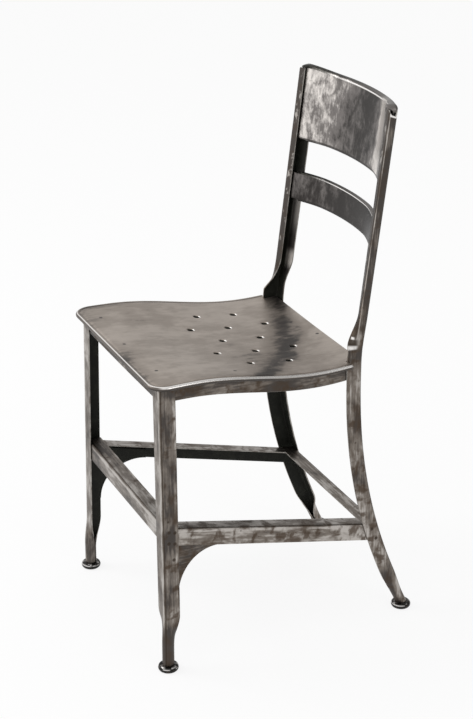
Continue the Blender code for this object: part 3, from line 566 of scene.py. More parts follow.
def sheet_piece(name, points, quads, across, gauge, finishes, slot, dark=None):
    """A sheet of even gauge that stands for the CAD node of the same name.

    Its two skins lie half the gauge off the middle surface along the point normals, and along every
    open border the middle points are pushed outwards, so the edge is rounded. finishes are those of
    the outer skin, the inner skin and the edge; dark marks quads that keep the inner finish on both, which
    paints the vents' necks dark as shade.
    across is kept as an attribute of the points, for lines that follow the folds.
    """
    dark = np.zeros(len(quads), dtype=bool) if dark is None else dark
    used, quads = np.unique(quads, return_inverse=True)
    quads = quads.reshape(-1, 4)
    points = points[used]
    across = across[used]
    count = len(points)
    normals = point_normals(points, quads)
    border = open_border(quads, count)
    along = points[border[:, 1]] - points[border[:, 0]]
    aside = np.cross(along, normals[border[:, 0]])
    push = np.zeros_like(points)
    np.add.at(push, border, aside[:, None, :])
    rim = np.unique(border)
    push = push[rim] / np.linalg.norm(push[rim], axis=1, keepdims=True)
    place = np.zeros(count, dtype=int)
    place[rim] = 2 * count + np.arange(len(rim))
    first, last = border[:, 0], border[:, 1]
    half = gauge / 2
    vertices = np.concatenate([points + normals * half, points - normals * half,
                               points[rim] + push * EDGE_CROWN * gauge])
    faces = np.concatenate([
        quads, quads[:, ::-1] + count,
        np.stack([last, first, place[first], place[last]], axis=1),
        np.stack([place[last], place[first], first + count, last + count], axis=1)])
    skins = np.concatenate([np.where(dark, 1, 0), np.ones(len(quads), dtype=int),
                            np.full(2 * len(border), 2)])
    piece = mesh_piece(name, vertices, faces.tolist(), finishes, skins)
    lines = piece.data.attributes.new("across", "FLOAT", "POINT")
    lines.data.foreach_set("value", np.concatenate([across, across, across[rim]]).astype(np.float32))
    return piece


def mesh_piece(name, vertices, faces, finishes, skins):
    """A new piece in place of the CAD node of the same name, with one finish number for each face."""
    mesh = bpy.data.meshes.new(name)
    mesh.from_pydata(vertices.tolist(), [], faces)
    for finish in finishes:
        mesh.materials.append(finish)
    mesh.polygons.foreach_set("material_index", np.ascontiguousarray(skins, dtype=np.int32))
    mesh.shade_smooth()
    mesh.set_sharp_from_angle(angle=math.radians(SHARP_DEGREES))
    piece = bpy.data.objects.new(f"{name}_form", mesh)
    bpy.context.scene.collection.objects.link(piece)
    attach(piece, "root")
    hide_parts(name)
    return piece


def sided(grid, side, across):
    """Points, quads and across of a grid drawn on the left, mirrored where side is below 0."""
    return grid.reshape(-1, 3) * (side, 1.0, 1.0), grid_quads(*grid.shape[:2], flip=side < 0), across


def measured(grid, axis, zero):
    """Distances along the lines of a grid, from its line number zero."""
    steps = np.linalg.norm(np.diff(grid, axis=axis), axis=-1)
    total = np.insert(np.cumsum(steps, axis=axis), 0, 0.0, axis=axis)
    return (total - np.take(total, [zero], axis=axis)).reshape(-1)


def stacked(section, z):
    """Rows of 3-D points from rows of plan points and their heights."""
    heights = np.broadcast_to(z[:, None, None], section.shape[:2] + (1,))
    return np.concatenate([section, heights], axis=2)


# Pieces

def front_leg(lines, side):
    """Sections stacked from the ankle to the seat; the top row follows the seat's underside."""
    s = lines.size
    top = s.seat_height - s.seat_sheet - 2 * s.fit_gap
    z = stations((lines.leg_bottom, 6), (s.ankle_top, 26), (s.taper_top, 24), (top, 0))
    grid = stacked(lines.front_leg_section(z), z)
    grid[-1, :, 2] = lines.seat_under(grid[-1, :, 0], grid[-1, :, 1])
    return sided(grid, side, measured(grid, 1, grid.shape[1] // 2))


def back_leg(lines, side):
    """Sections stacked from the ankle to the post's top, where lip and rear flange rise above the side.

    The rise goes by straight lines between the corners of the top's outline, and fades out below.
    """
    s = lines.size
    sweep = lines.rear_web_y(lines.leg_bottom) - lines.rear_web_y(s.rear_ankle_top)
    bottom = lines.leg_bottom + s.leg_sheet / 2 * sweep / (s.rear_ankle_top - lines.leg_bottom)
    shoulder = lines.post_top - s.lip_rise
    z = stations((bottom, 4), (s.rear_ankle_top, 24), (s.rear_taper_top, 34), (lines.sweep_top, 8),
                 (lines.fold_low, 36), (lines.knee_high, 24), (shoulder, 8), (lines.post_top, 0))
    section = lines.back_leg_section(z)
    grid = stacked(section, z)
    across = -measured(grid, 1, REAR_FOLD)
    profile = (s.lip_rise, s.lip_rise, s.web_rise, -s.web_dip, s.flange_rise)
    top = np.interp(np.arange(section.shape[1]), POST_TOP_COLUMNS, profile)
    rise = top * smooth(shoulder, lines.post_top, z)[:, None]
    lean = (lines.back_leg_section(z + MILLIMETRE) - section) / MILLIMETRE
    grid[:, :, :2] += lean * rise[:, :, None]
    grid[:, :, 2] += rise
    return sided(grid, side, across)


def slat(lines, bottom, top, roll, over_posts):
    """A curved slat with a rolled top edge and a hemmed bottom edge; it may reach over the posts' tops.

    Rows run from the hem's end up the front and back over the roll: a row at a curl's angle stands on
    a circle round a line behind the edge. Towards the ends the slat comes forward by an S-curve. Over the
    posts its top rises too, the circles close to a round tip that turns down along a quarter circle, and
    the roll's upper front bulges over the lips by the sine of twice its angle.
    """
    s = lines.size
    inset_top = s.roll_end_inset if over_posts else s.fold_round
    hem = np.radians(np.linspace(HEM_TURN, 0.0, HEM_STEPS, endpoint=False))
    body = stations((bottom, SLAT_ROWS), (top, 0))
    curl = np.radians(np.linspace(0.0, ROLL_TURN, ROLL_STEPS + 1))[1:]
    z = np.concatenate([np.full(len(hem), bottom), body, np.full(len(curl), top)])
    upper = smooth(top - ROLL_REACH * roll, top, z)
    inset = lerp(s.fold_round, inset_top, upper)
    turn = np.concatenate([hem, np.zeros(len(body)), curl])
    lower = z < lerp(bottom, top, 0.5)
    radius = np.where(lower, s.hem_round, roll)[:, None]
    whole, back = lines.slat_plan(z, inset)
    columns = whole.shape[1]
    from_left = measured(whole[-1:], 1, 0)
    from_end = np.minimum(from_left, from_left[-1] - from_left)
    blunt = np.clip(from_end / roll, TIP_SLIT, 1.0) if over_posts else np.ones(columns)
    upper = upper[:, None]
    ring = radius * lerp(1.0, np.sqrt(1 - (1 - blunt) ** 2), upper)
    ends = smooth(*SLAT_END, np.abs(whole[:, :, 0]) / s.post_top_x)
    reach = radius - ring * np.cos(turn)[:, None] - s.slat_forward * ends
    height = z[:, None] + np.where(lower, -1.0, 1.0)[:, None] * np.sin(turn)[:, None] * ring
    if over_posts:
        over_lip = np.where(turn < math.pi / 2, np.sin(2 * turn), 0.0)[:, None] * upper * ring / radius
        reach = reach - s.crest_knob * smooth(s.knob_length, s.knob_length / 2, from_end) * over_lip
        past = np.clip(1 - from_end / s.crest_corner, 0.0, 1.0)
        height = height + s.crest_ears * ends * smooth(bottom, top, z)[:, None]
        height = height - s.crest_drop * (1 - np.sqrt(1 - past ** 2)) * upper
    grid = np.concatenate([whole + back * reach[:, :, None], height[:, :, None]], axis=2)
    quads = grid_quads(*grid.shape[:2], flip=True)
    row, column = np.divmod(quads.min(axis=1), columns)
    on_post = (column < SLAT_POST_STEPS) | (column >= columns - 1 - SLAT_POST_STEPS)
    curled = row < len(hem)
    if not over_posts:
        curled |= row >= len(hem) + len(body) - 1
    from_hem = np.minimum(z - bottom, HEM_REACH) - s.hem_round * turn
    across = np.where(lower, HEM_VALUE + from_hem / MILLIMETRE, turn + (z - top) / roll)
    across = np.broadcast_to(across[:, None], grid.shape[:2]).reshape(-1)
    return grid.reshape(-1, 3), quads[~(on_post & curled)], across


def seat_pan(lines):
    """Saddle sheet with a groove and a rolled bead round its front and sides, slotted and vented.

    Rows of a grid run across the seat: a lattice in the middle, so that each vent takes the place of a
    square of cells, and side columns that end on the outline, straight but for two rounded corners. The
    groove is a bell curve of the distance inside that outline. Returns points, quads, those distances and
    which quads are the vents' necks, painted dark as shade.
    """
    s = lines.size
    inset = s.bead_round + s.seat_sheet / 2
    front = lines.seat_front_y + inset
    corner = s.seat_corner - inset
    back = lines.face_y + s.frame_depth - lines.behind_flange
    rear = back - s.seat_rear_play
    web_front = lines.face_y + s.frame_depth - s.rear_leg_web - s.fit_gap
    bead_end = back - s.rear_leg_web + s.bead_lap
    cell = np.array([s.vent_row_spacing / VENT_CELLS_X, s.vent_pitch / VENT_CELLS_Y])
    first = lines.seat_front_y + s.vent_first_y
    lattice_low = first - VENT_BLOCK * cell[1]
    lattice_high = first + 2 * s.vent_pitch + VENT_BLOCK * cell[1]
    bends = np.linspace(0.0, math.pi / 2, CORNER_ROWS, endpoint=False)
    y = np.concatenate([
        front + corner * (1 - np.cos(bends)),
        stations((front + corner, 36), (lattice_low, 2 * VENT_CELLS_Y + 2 * VENT_BLOCK), (lattice_high, 12),
                 (web_front, 8), (bead_end, 7), (rear, 0))])
    slot_row = np.argmin(np.abs(y - web_front))
    end_row = np.argmin(np.abs(y - bead_end))
    lattice_row = np.argmin(np.abs(y - lattice_low))
    square = np.clip(corner - (y - front), 0.0, None)
    straight_side = lines.seat_half_width(y)
    half_width = straight_side - corner + np.sqrt(np.maximum(corner ** 2 - square ** 2, 0.0))

    lattice = cell[0] * np.arange(-LATTICE_HALF, LATTICE_HALF + 1)
    aside, inner, outer = seat_columns(lines, y, slot_row, half_width, lattice[-1])
    x = np.concatenate([-aside[:, ::-1], np.broadcast_to(lattice, (len(y), len(lattice))), aside], axis=1)
    rows, columns = x.shape
    depth = np.broadcast_to(y[:, None], x.shape)
    from_side = np.abs(x) - straight_side[:, None] + corner
    from_front = front + corner - depth
    in_corner = (from_side > 0) & (from_front > 0)
    from_edge = corner - np.where(in_corner, np.hypot(from_side, from_front), np.maximum(from_side, from_front))
    groove = s.groove_depth * np.exp(-((from_edge - s.groove_place) / s.groove_width) ** 2)
    top = np.stack([x, depth, lines.seat_mid(x, depth) - groove], axis=-1)
    points = top.reshape(-1, 3)

    quads = grid_quads(rows, columns)
    row, column = np.divmod(quads.min(axis=1), columns)
    sides = aside.shape[1]
    from_outside = np.minimum(column, columns - 2 - column)
    slot = (row >= slot_row) & (from_outside < sides - 1 - inner)
    beside = (row < end_row) & (from_outside < sides - 1 - outer)
    quads = quads[~(slot & ~beside)]

    index = np.arange(rows * columns).reshape(rows, columns)
    edge = np.concatenate([index[end_row:0:-1, 0], index[0], index[1:end_row + 1, -1]])
    bead, rolled = rolled_bead(lines, points[edge], bead_end)
    points[edge] = bead[0]
    bead_index = len(points) + np.arange(rolled[1:].size).reshape(-1, len(edge))
    bead_index = np.concatenate([edge[None], bead_index])
    bead_quads = np.stack([bead_index[:-1, :-1], bead_index[1:, :-1], bead_index[1:, 1:], bead_index[:-1, 1:]],
                          axis=-1).reshape(-1, 4)
    points = np.concatenate([points, bead[1:].reshape(-1, 3)])
    quads = np.concatenate([quads, bead_quads])
    across = np.concatenate([from_edge.reshape(-1), rolled[1:].reshape(-1)])
    return vented(lines, points, quads, across, index, lattice_row, sides + LATTICE_HALF, cell)


def seat_columns(lines, y, slot_row, half_width, lattice_edge):
    """Rows of x from the lattice's edge to the seat's outline, crowded towards the outline by a power.

    Where the rows come to the posts, two of the columns settle by an S-curve on the inner and the outer
    side of a post's slot. Returns the rows and the numbers of these two columns.
    """
    s = lines.size
    web_front = y[slot_row]
    share = 1 - (1 - np.linspace(0.0, 1.0, SIDE_COLUMNS)[1:]) ** SIDE_CROWDING
    inner_x = lines.rear_corner_x(np.array(s.seat_height)) - s.leg_sheet - s.post_slot_play
    outer_x = inner_x + s.leg_sheet + 2 * s.post_slot_play
    even = lerp(lattice_edge, half_width[slot_row], share)
    inner = np.argmin(np.abs(even - inner_x))
    outer = np.argmin(np.abs(even - outer_x))
    settle = smooth(web_front - s.seat_corner, web_front, y)
    inner_x = lerp(lerp(lattice_edge, half_width, share[inner]), inner_x, settle)[:, None]
    outer_x = lerp(lerp(lattice_edge, half_width, share[outer]), outer_x, settle)[:, None]
    middle = (share[inner:outer] - share[inner]) / (share[outer] - share[inner])
    last = (share[outer:] - share[outer]) / (1 - share[outer])
    rows = [lerp(lattice_edge, inner_x, share[:inner] / share[inner]), lerp(inner_x, outer_x, middle),
            lerp(outer_x, half_width[:, None], last)]
    return np.concatenate(rows, axis=1), inner, outer


def rolled_bead(lines, rim, bead_end):
    """A circle carried along the rim, from the rim outwards and down; at both ends it closes to a tip.

    Returns its rows of points and the distances round it, below 0.
    """
    s = lines.size
    along = np.gradient(rim[:, :2], axis=0)
    outwards = np.stack([along[:, 1], -along[:, 0]], axis=1) / np.linalg.norm(along, axis=1, keepdims=True)
    past = np.clip(1 + (rim[:, 1] - bead_end) / s.bead_round, 0.0, 1.0)
    radius = s.bead_round * np.sqrt(np.maximum(1 - past ** 2, BEAD_TIP))
    turn = np.radians(np.linspace(0.0, BEAD_TURN, BEAD_STEPS))[:, None]
    centre = rim - (0.0, 0.0, s.bead_round)
    bead = np.zeros((len(turn), len(rim), 3))
    bead[:, :, :2] = centre[:, :2] + outwards * (radius * np.sin(turn))[:, :, None]
    bead[:, :, 2] = centre[:, 2] + radius * np.cos(turn)
    return bead, np.broadcast_to(-s.bead_round * turn, bead.shape[:2])


def vented(lines, points, quads, across, index, lattice_row, middle, cell):
    """Puts a dimple with a drawn neck in place of a square of cells at each vent.

    Rings of points go from the square's border to circles of falling radius and rising depth. On the
    rings, across is a large number, and larger on the side of the mouth that catches the light, where the
    seat's finish paints a highlight; the quads from the neck down are painted dark as shade in the hole.
    """
    s = lines.size
    rank = np.array([(row, VENT_CELLS_Y // 2 * (2 * place + (row % 2 == 0)))
                     for row in range(-2, 3) for place in range(2 + row % 2)])
    centre_row = lattice_row + VENT_BLOCK + rank[:, 1]
    centre_column = middle + rank[:, 0] * VENT_CELLS_X
    steps = np.arange(-VENT_BLOCK, VENT_BLOCK)
    full = np.full(len(steps), VENT_BLOCK)
    around = np.concatenate([np.stack([full, steps], axis=1), np.stack([-steps, full], axis=1),
                             np.stack([-full, -steps], axis=1), np.stack([steps, -full], axis=1)])
    border = index[centre_row[:, None] + around[:, 1], centre_column[:, None] + around[:, 0]]
    columns = index.shape[1]
    row, column = np.divmod(quads.min(axis=1), columns)
    sideways = column[:, None] - centre_column
    forward = row[:, None] - centre_row
    inside = (sideways >= -VENT_BLOCK) & (sideways < VENT_BLOCK)
    inside &= (forward >= -VENT_BLOCK) & (forward < VENT_BLOCK)
    quads = quads[~(inside & (row < index.shape[0])[:, None]).any(axis=1)]

    fall = np.linspace(0.0, 1.0, VENT_RINGS)
    flare = np.clip(1 - fall / VENT_THROAT, 0.0, 1.0) ** VENT_FLARE
    radius = lerp(s.vent_radius, s.vent_mouth, flare)
    sunk = s.vent_depth * fall ** VENT_PLUNGE
    bearing = np.arctan2(around[:, 1] * cell[1], around[:, 0] * cell[0])
    centre = points[index[centre_row, centre_column]]
    ring = np.zeros((len(rank), VENT_RINGS, len(around), 3))
    ring[..., 0] = centre[:, None, None, 0] + radius[:, None] * np.cos(bearing)
    ring[..., 1] = centre[:, None, None, 1] + radius[:, None] * np.sin(bearing)
    ring[..., 2] = lines.seat_mid(ring[..., 0], ring[..., 1]) - sunk[:, None]
    ring_index = len(points) + np.arange(ring[..., 0].size).reshape(ring.shape[:3])
    ring_index = np.concatenate([border[:, None], ring_index], axis=1)
    following = np.roll(ring_index, -1, axis=2)
    patch = np.stack([ring_index[:, :-1], following[:, :-1], following[:, 1:], ring_index[:, 1:]], axis=-1)
    # From the neck down the quads keep the dark inner finish: painted shade inside the hole.
    neck = np.broadcast_to((np.arange(VENT_RINGS) >= VENT_NECK)[None, :, None], patch.shape[:3])
    dark = np.concatenate([np.zeros(len(quads), dtype=bool), neck.reshape(-1)])
    # A painted highlight on the mouth's lit side, carried in across.
    glint = np.clip(np.cos(bearing - math.radians(GLINT_BEARING)), 0.0, 1.0) ** 2
    glint = glint * (np.arange(VENT_RINGS) <= VENT_NECK)[:, None] + s.vent_row_spacing
    across = np.concatenate([across, np.broadcast_to(glint, ring.shape[:3]).reshape(-1)])
    points = np.concatenate([points, ring.reshape(-1, 3)])
    return points, np.concatenate([quads, patch.reshape(-1, 4)]), across, dark


def angle_profile(height, flange, gauge):
    """A folded rail in section as (depth inwards, height below its top), from its lower edge up."""
    half = gauge / 2
    lower, corner, inner = (np.array([p]) for p in ((half, height), (half, half), (flange, half)))
    before = towards(corner, lower, gauge)
    after = towards(corner, inner, gauge)
    fold = [straight(lower, before, RAIL_FACE_STEPS), rounded(before, corner, after, RAIL_FOLD_STEPS),
            straight(after, inner, RAIL_FACE_STEPS)]
    return np.concatenate(fold, axis=1)[0].T


def side_rail(lines, top, height, flange, ends):
    """A rail along a chair side, behind the legs' flanges, with its own flange turned inwards.

    top(y) is its upper face and ends(inwards, below) the first and last y of the lines of its section.
    """
    inwards, below = angle_profile(height, flange, lines.size.rail_sheet)
    first, last = ends(inwards, below)
    y = lerp(first[:, None], last[:, None], np.linspace(0.0, 1.0, SIDE_RAIL_STEPS))
    z = top(y) - below[:, None]
    x = lines.side_x(y, z) - lines.behind_flange - inwards[:, None]
    return np.stack([x, y, z], axis=-1)


def apron_side(lines, side):
    """A rail whose top follows the seat's underside."""
    s = lines.size
    front = lines.face_y + lines.corner_clear
    rear = lines.face_y + s.frame_depth - lines.corner_clear

    def ends(inwards, below):
        return front + inwards, rear - inwards

    def top(y):
        return lines.seat_under(lines.side_x(y, np.full_like(y, s.seat_height)) - lines.behind_flange, y)

    grid = side_rail(lines, top, s.apron_height, s.apron_flange, ends)
    limit = lines.seat_under(grid[..., 0], grid[..., 1]) - s.rail_sheet / 2
    grid[..., 2] = np.minimum(grid[..., 2], limit)
    return sided(grid, side, measured(grid, 0, RAIL_FOLD))


def cross_rail(lines, plane, top, half_length, height, flange, inward_sign):
    """A rail across the chair: plane(z, depth) is y, top(x) its upper face, and it turns inwards."""
    s = lines.size
    inwards, below = angle_profile(height, flange, s.rail_sheet)
    upright = np.minimum(inwards, s.rail_sheet / 2)
    z = top(np.zeros_like(below)) - below
    y = plane(z, lines.behind_flange + upright) + inward_sign * (inwards - upright)
    reach = half_length(y, z, inwards)
    x = reach[:, None] * np.linspace(1.0, -1.0, CROSS_RAIL_STEPS)
    grid = np.stack([x, np.broadcast_to(y[:, None], x.shape), top(x) - below[:, None]], axis=-1)
    quads = grid_quads(*grid.shape[:2], flip=inward_sign > 0)
    return grid.reshape(-1, 3), quads, measured(grid, 0, RAIL_FOLD)


def apron_cross(lines, plane, inward_sign):
    """A rail across under the seat's front or rear edge."""
    s = lines.size
    y = plane(np.array(s.seat_height), lines.rail_mid)

    def top(x):
        line = np.full_like(x, y)
        return np.minimum(lines.seat_under(x, line), lines.seat_under(x, line + inward_sign * s.apron_flange))

    def half_length(at_y, z, inwards):
        return lines.side_x(at_y, z) - lines.corner_clear - inwards

    return cross_rail(lines, plane, top, half_length, s.apron_height, s.apron_flange, inward_sign)


def rear_flange_edge(lines, top):
    """Front edge of the rear stretcher's flange when its upper face is at the given height."""
    s = lines.size
    return lines.rear_plane_y(top - s.rail_sheet / 2, lines.rail_mid) - s.stretcher_flange + s.rail_sheet / 2


def rear_stretcher_top(lines):
    """The rear stretcher's flange is level with the side stretchers where they meet its edge."""
    top = lines.side_top_front - lines.size.rear_stretcher_drop
    for _ in range(SETTLING_ROUNDS):
        top = lines.side_stretcher_top(rear_flange_edge(lines, top))
    return top


def stretcher_cross(lines, plane, level, inward_sign):
    """A rail across the chair at one level, between the corners of two legs."""
    s = lines.size

    def top(x):
        return np.full_like(x, level)

    def half_length(y, z, inwards):
        return lines.side_x(y, z) - lines.corner_clear

    return cross_rail(lines, plane, top, half_length, s.stretcher_height, s.stretcher_flange, inward_sign)


def stretcher_side(lines, side):
    """A rail that falls from the front leg to the rear one; its flange stops at the rear stretcher's."""
    s = lines.size
    front = lines.face_y + lines.corner_clear

    def ends(inwards, below):
        last = np.full_like(below, front)
        for _ in range(SETTLING_ROUNDS):
            last = lines.rear_plane_y(lines.side_stretcher_top(last) - below, lines.corner_clear)
        butt = rear_flange_edge(lines, rear_stretcher_top(lines)) - s.fit_gap
        return np.full_like(below, front), np.where(inwards > s.rail_sheet, butt, last)

    grid = side_rail(lines, lines.side_stretcher_top, s.stretcher_height, s.stretcher_flange, ends)
    return sided(grid, side, measured(grid, 0, RAIL_FOLD))


def gusset(lines, side):
    """Plate behind a front leg and its side stretcher: rows blend from its open edge, a fillet arc
    between the two, to its hidden edges, and step back where they pass behind the stretcher."""
    s = lines.size
    leg_y = lines.face_y + s.front_leg_side

    def lower_edge(y):
        return lines.side_stretcher_top(y) - s.stretcher_height

    slope = s.rear_stretcher_drop / s.frame_depth
    centre_y = leg_y + s.gusset_radius
    centre_z = lower_edge(centre_y) - s.gusset_radius * math.hypot(1.0, slope)
    angles = np.linspace(math.pi, math.atan2(1.0, slope), 2 * GUSSET_EDGE_STEPS - 1)
    arc = plan(centre_y + s.gusset_radius * np.cos(angles), centre_z + s.gusset_radius * np.sin(angles))
    hidden_y = leg_y - s.gusset_lap
    start = np.array([[hidden_y, centre_z]])
    corner = np.array([[hidden_y, lower_edge(hidden_y) + s.gusset_lap]])
    end = np.array([[arc[-1, 0], lower_edge(arc[-1, 0]) + s.gusset_lap]])
    hidden = np.concatenate([straight(start, corner, GUSSET_EDGE_STEPS),
                             straight(corner, end, GUSSET_EDGE_STEPS)[:, 1:]], axis=1)[0]
    flat = lerp(arc, hidden, np.linspace(0.0, 1.0, GUSSET_ROWS)[:, None, None])
    over = smooth(-s.gusset_step, -s.rail_sheet, flat[..., 1] - lower_edge(flat[..., 0]))
    depth = lines.rail_mid + over * (s.rail_sheet + s.fit_gap)
    x = lines.side_x(flat[..., 0], flat[..., 1]) - depth
    grid = np.concatenate([x[..., None], flat], axis=-1)
    return sided(grid, side, np.full(x.size, s.gusset_radius))


def foot_glide(lines, name, x, y, finish):
    """Turned glide: a profile carried round a circle, from its top down its rounded edge to the floor."""
    s = lines.size
    flat = s.glide_radius - s.glide_edge
    middle = s.glide_height / 2
    edge = np.linspace(math.pi / 2, -math.pi / 2, GLIDE_EDGE_STEPS)
    radius = np.concatenate([[0.0, s.ankle_radius - s.leg_sheet], flat + s.glide_edge * np.cos(edge), [0.0]])
    height = np.concatenate([[s.glide_height] * 2, middle + middle * np.sin(edge), [0.0]])
    bearing = np.linspace(0.0, 2 * math.pi, GLIDE_SIDES, endpoint=False)
    ring = np.stack([x + radius[1:-1, None] * np.cos(bearing), y + radius[1:-1, None] * np.sin(bearing),
                     np.broadcast_to(height[1:-1, None], (len(radius) - 2, GLIDE_SIDES))], axis=-1)
    points = np.concatenate([ring.reshape(-1, 3), [(x, y, height[0]), (x, y, height[-1])]])
    index = np.arange(ring[..., 0].size).reshape(-1, GLIDE_SIDES)
    following = np.roll(index, -1, axis=1)
    wall = np.stack([index[1:], following[1:], following[:-1], index[:-1]], axis=-1).reshape(-1, 4)
    mesh_points = len(points)
    lid = np.stack([index[0], following[0], np.full(GLIDE_SIDES, mesh_points - 2)], axis=-1)
    sole = np.stack([following[-1], index[-1], np.full(GLIDE_SIDES, mesh_points - 1)], axis=-1)
    faces = wall.tolist() + lid.tolist() + sole.tolist()
    return mesh_piece(name, points, faces, [finish], np.zeros(len(faces)))


# Shader expressions

class Value:
    """A socket that takes part in Python arithmetic; each operator adds one Math node."""

    def __init__(self, tree, socket):
        self.tree = tree
        self.socket = socket

    def node(self, kind, settings=None, output=0, **sockets):
        """Adds a node: its settings first, then the values or links of its sockets."""
        made = self.tree.nodes.new(kind)
        for name, setting in (settings or {}).items():
            setattr(made, name, setting)
        for name, given in sockets.items():
            key = int(name[1:]) if name[0] == "_" else name.replace("_", " ")
            if isinstance(given, Value):
                self.tree.links.new(given.socket, made.inputs[key])
            else:
                made.inputs[key].default_value = given
        return Value(self.tree, made.outputs[output])

    def maths(self, operation, first, second=0.0):
        """One Math node of two numbers or values."""
        return self.node("ShaderNodeMath", {"operation": operation}, _0=first, _1=second)

    def __add__(self, other):
        return self.maths("ADD", self, other)

    def __sub__(self, other):
        return self.maths("SUBTRACT", self, other)

    def __mul__(self, other):
        return self.maths("MULTIPLY", self, other)

    __radd__ = __add__
    __rmul__ = __mul__

    def __rsub__(self, other):
        return self.maths("SUBTRACT", other, self)

    def __abs__(self):
        return self.maths("ABSOLUTE", self)

    def ramp(self, low, high):
        """0 at low, 1 at high and an S-curve between."""
        settings = {"interpolation_type": "SMOOTHSTEP"}
        return self.node("ShaderNodeMapRange", settings, Value=self, From_Min=low, From_Max=high)

    def most(self, other):
        """The larger of two values."""
        return self.maths("MAXIMUM", self, other)

    def axis(self, number):
        """One coordinate of a place."""
        return self.node("ShaderNodeSeparateXYZ", output=number, Vector=self)

    def stretched(self, scale, turn=(0.0, 0.0, 0.0)):
        """The place turned and scaled, so that a pattern on it runs along an axis."""
        return self.node("ShaderNodeMapping", Vector=self, Rotation=turn, Scale=scale)

    def noise(self, scale, detail=4.0, roughness=0.55, distortion=0.0):
        """Noise between 0 and 1 at a place; scale is its number of features in a metre."""
        return self.node("ShaderNodeTexNoise", Vector=self, Scale=scale, Detail=detail, Roughness=roughness,
                         Distortion=distortion)

    def near(self, point, radius, soft):
        """1 within the radius of a point, falling to 0 over the soft distance."""
        distance = self.node("ShaderNodeVectorMath", {"operation": "DISTANCE"}, output=1, _0=self, _1=point)
        return distance.ramp(radius + soft, radius)

    def line(self, middle, half, soft):
        """1 within half a width of a value, falling to 0 over the soft distance."""
        return abs(self - middle).ramp(half + soft, half)

    def attribute(self, name):
        """A number that the mesh keeps for each of its points."""
        return self.node("ShaderNodeAttribute", {"attribute_name": name}, output=2)

    def blend(self, first, second):
        """A mix of two colours, given as triples or values, by this share."""
        first, second = (given if isinstance(given, Value) else opaque(given) for given in (first, second))
        return self.node("ShaderNodeMix", {"data_type": "RGBA"}, output=2, _0=self, _6=first, _7=second)

    def bump(self, distance, strength):
        """A normal that leans as if this value, times the distance, stood out of the surface."""
        return self.node("ShaderNodeBump", Height=self, Distance=distance, Strength=strength)

    def feed(self, shader, socket):
        """Links this value to a socket of a shader."""
        self.tree.links.new(self.socket, shader.inputs[socket])


def finish(name, paint, metallic=1.0):
    """A new material; paint(place, shader) links its Principled node, place being Object coordinates."""
    material = bpy.data.materials.new(name)
    material.use_nodes = True
    tree = material.node_tree
    shader = tree.nodes["Principled BSDF"]
    shader.inputs["Metallic"].default_value = metallic
    paint(Value(tree, tree.nodes.new("ShaderNodeTexCoord").outputs["Object"]), shader)
    return material


def opaque(colour):
    """A colour with full alpha."""
    return (*colour, 1.0)


def toned(tone, dark, middle, light):
    """A colour from a tone of 0 to 1, through three colours."""
    return tone.ramp(0.5, 1.0).blend(tone.ramp(0.0, 0.5).blend(dark, middle), light)


def layered(metal, *layers):
    """Lays colours over a metal one after the other, each by its own share."""
    for share, over in layers:
        metal = share.blend(metal, over)
    return metal


def along_axis(axis, share):
    """A scale that draws a pattern out along one axis."""
    return tuple(share if i == axis else 1.0 for i in range(3))


def on_left(place):
    """The same place on the left side of the chair."""
    return place.node("ShaderNodeCombineXYZ", X=abs(place.axis(SIDEWAYS)), Y=place.axis(LENGTHWAYS),
                      Z=place.axis(UPRIGHT))


def weld_marks(place, welds, soft):
    """The sum of round marks at the given places; 0 without any."""
    marks = 0.0
    for weld in welds:
        marks = place.near(weld, WELD_RADIUS, soft) + marks
    return marks


# Finishes

WELD_RADIUS = 0.0020
SEAT_WELDS = ((-0.1167, -0.1921, 0.0), (-0.0038, -0.1968, 0.0), (0.1081, -0.1907, 0.0),
              (0.1354, -0.0805, 0.0), (-0.0349, 0.0910, 0.0), (0.0264, 0.1061, 0.0))
LEG_WELDS = ((0.1662, -0.1972, 0.2271), (0.1658, -0.1877, 0.2248), (0.1668, -0.1977, 0.2095),
             (0.1664, -0.1881, 0.2072), (0.1674, -0.1903, 0.1818), (0.1507, 0.1458, 0.1520),
             (0.1509, 0.1535, 0.1347), (0.1400, 0.1427, 0.6590))
# Rise above the seat over which a leg's finish becomes the post's
POST_FADE = (0.0125, 0.0325)


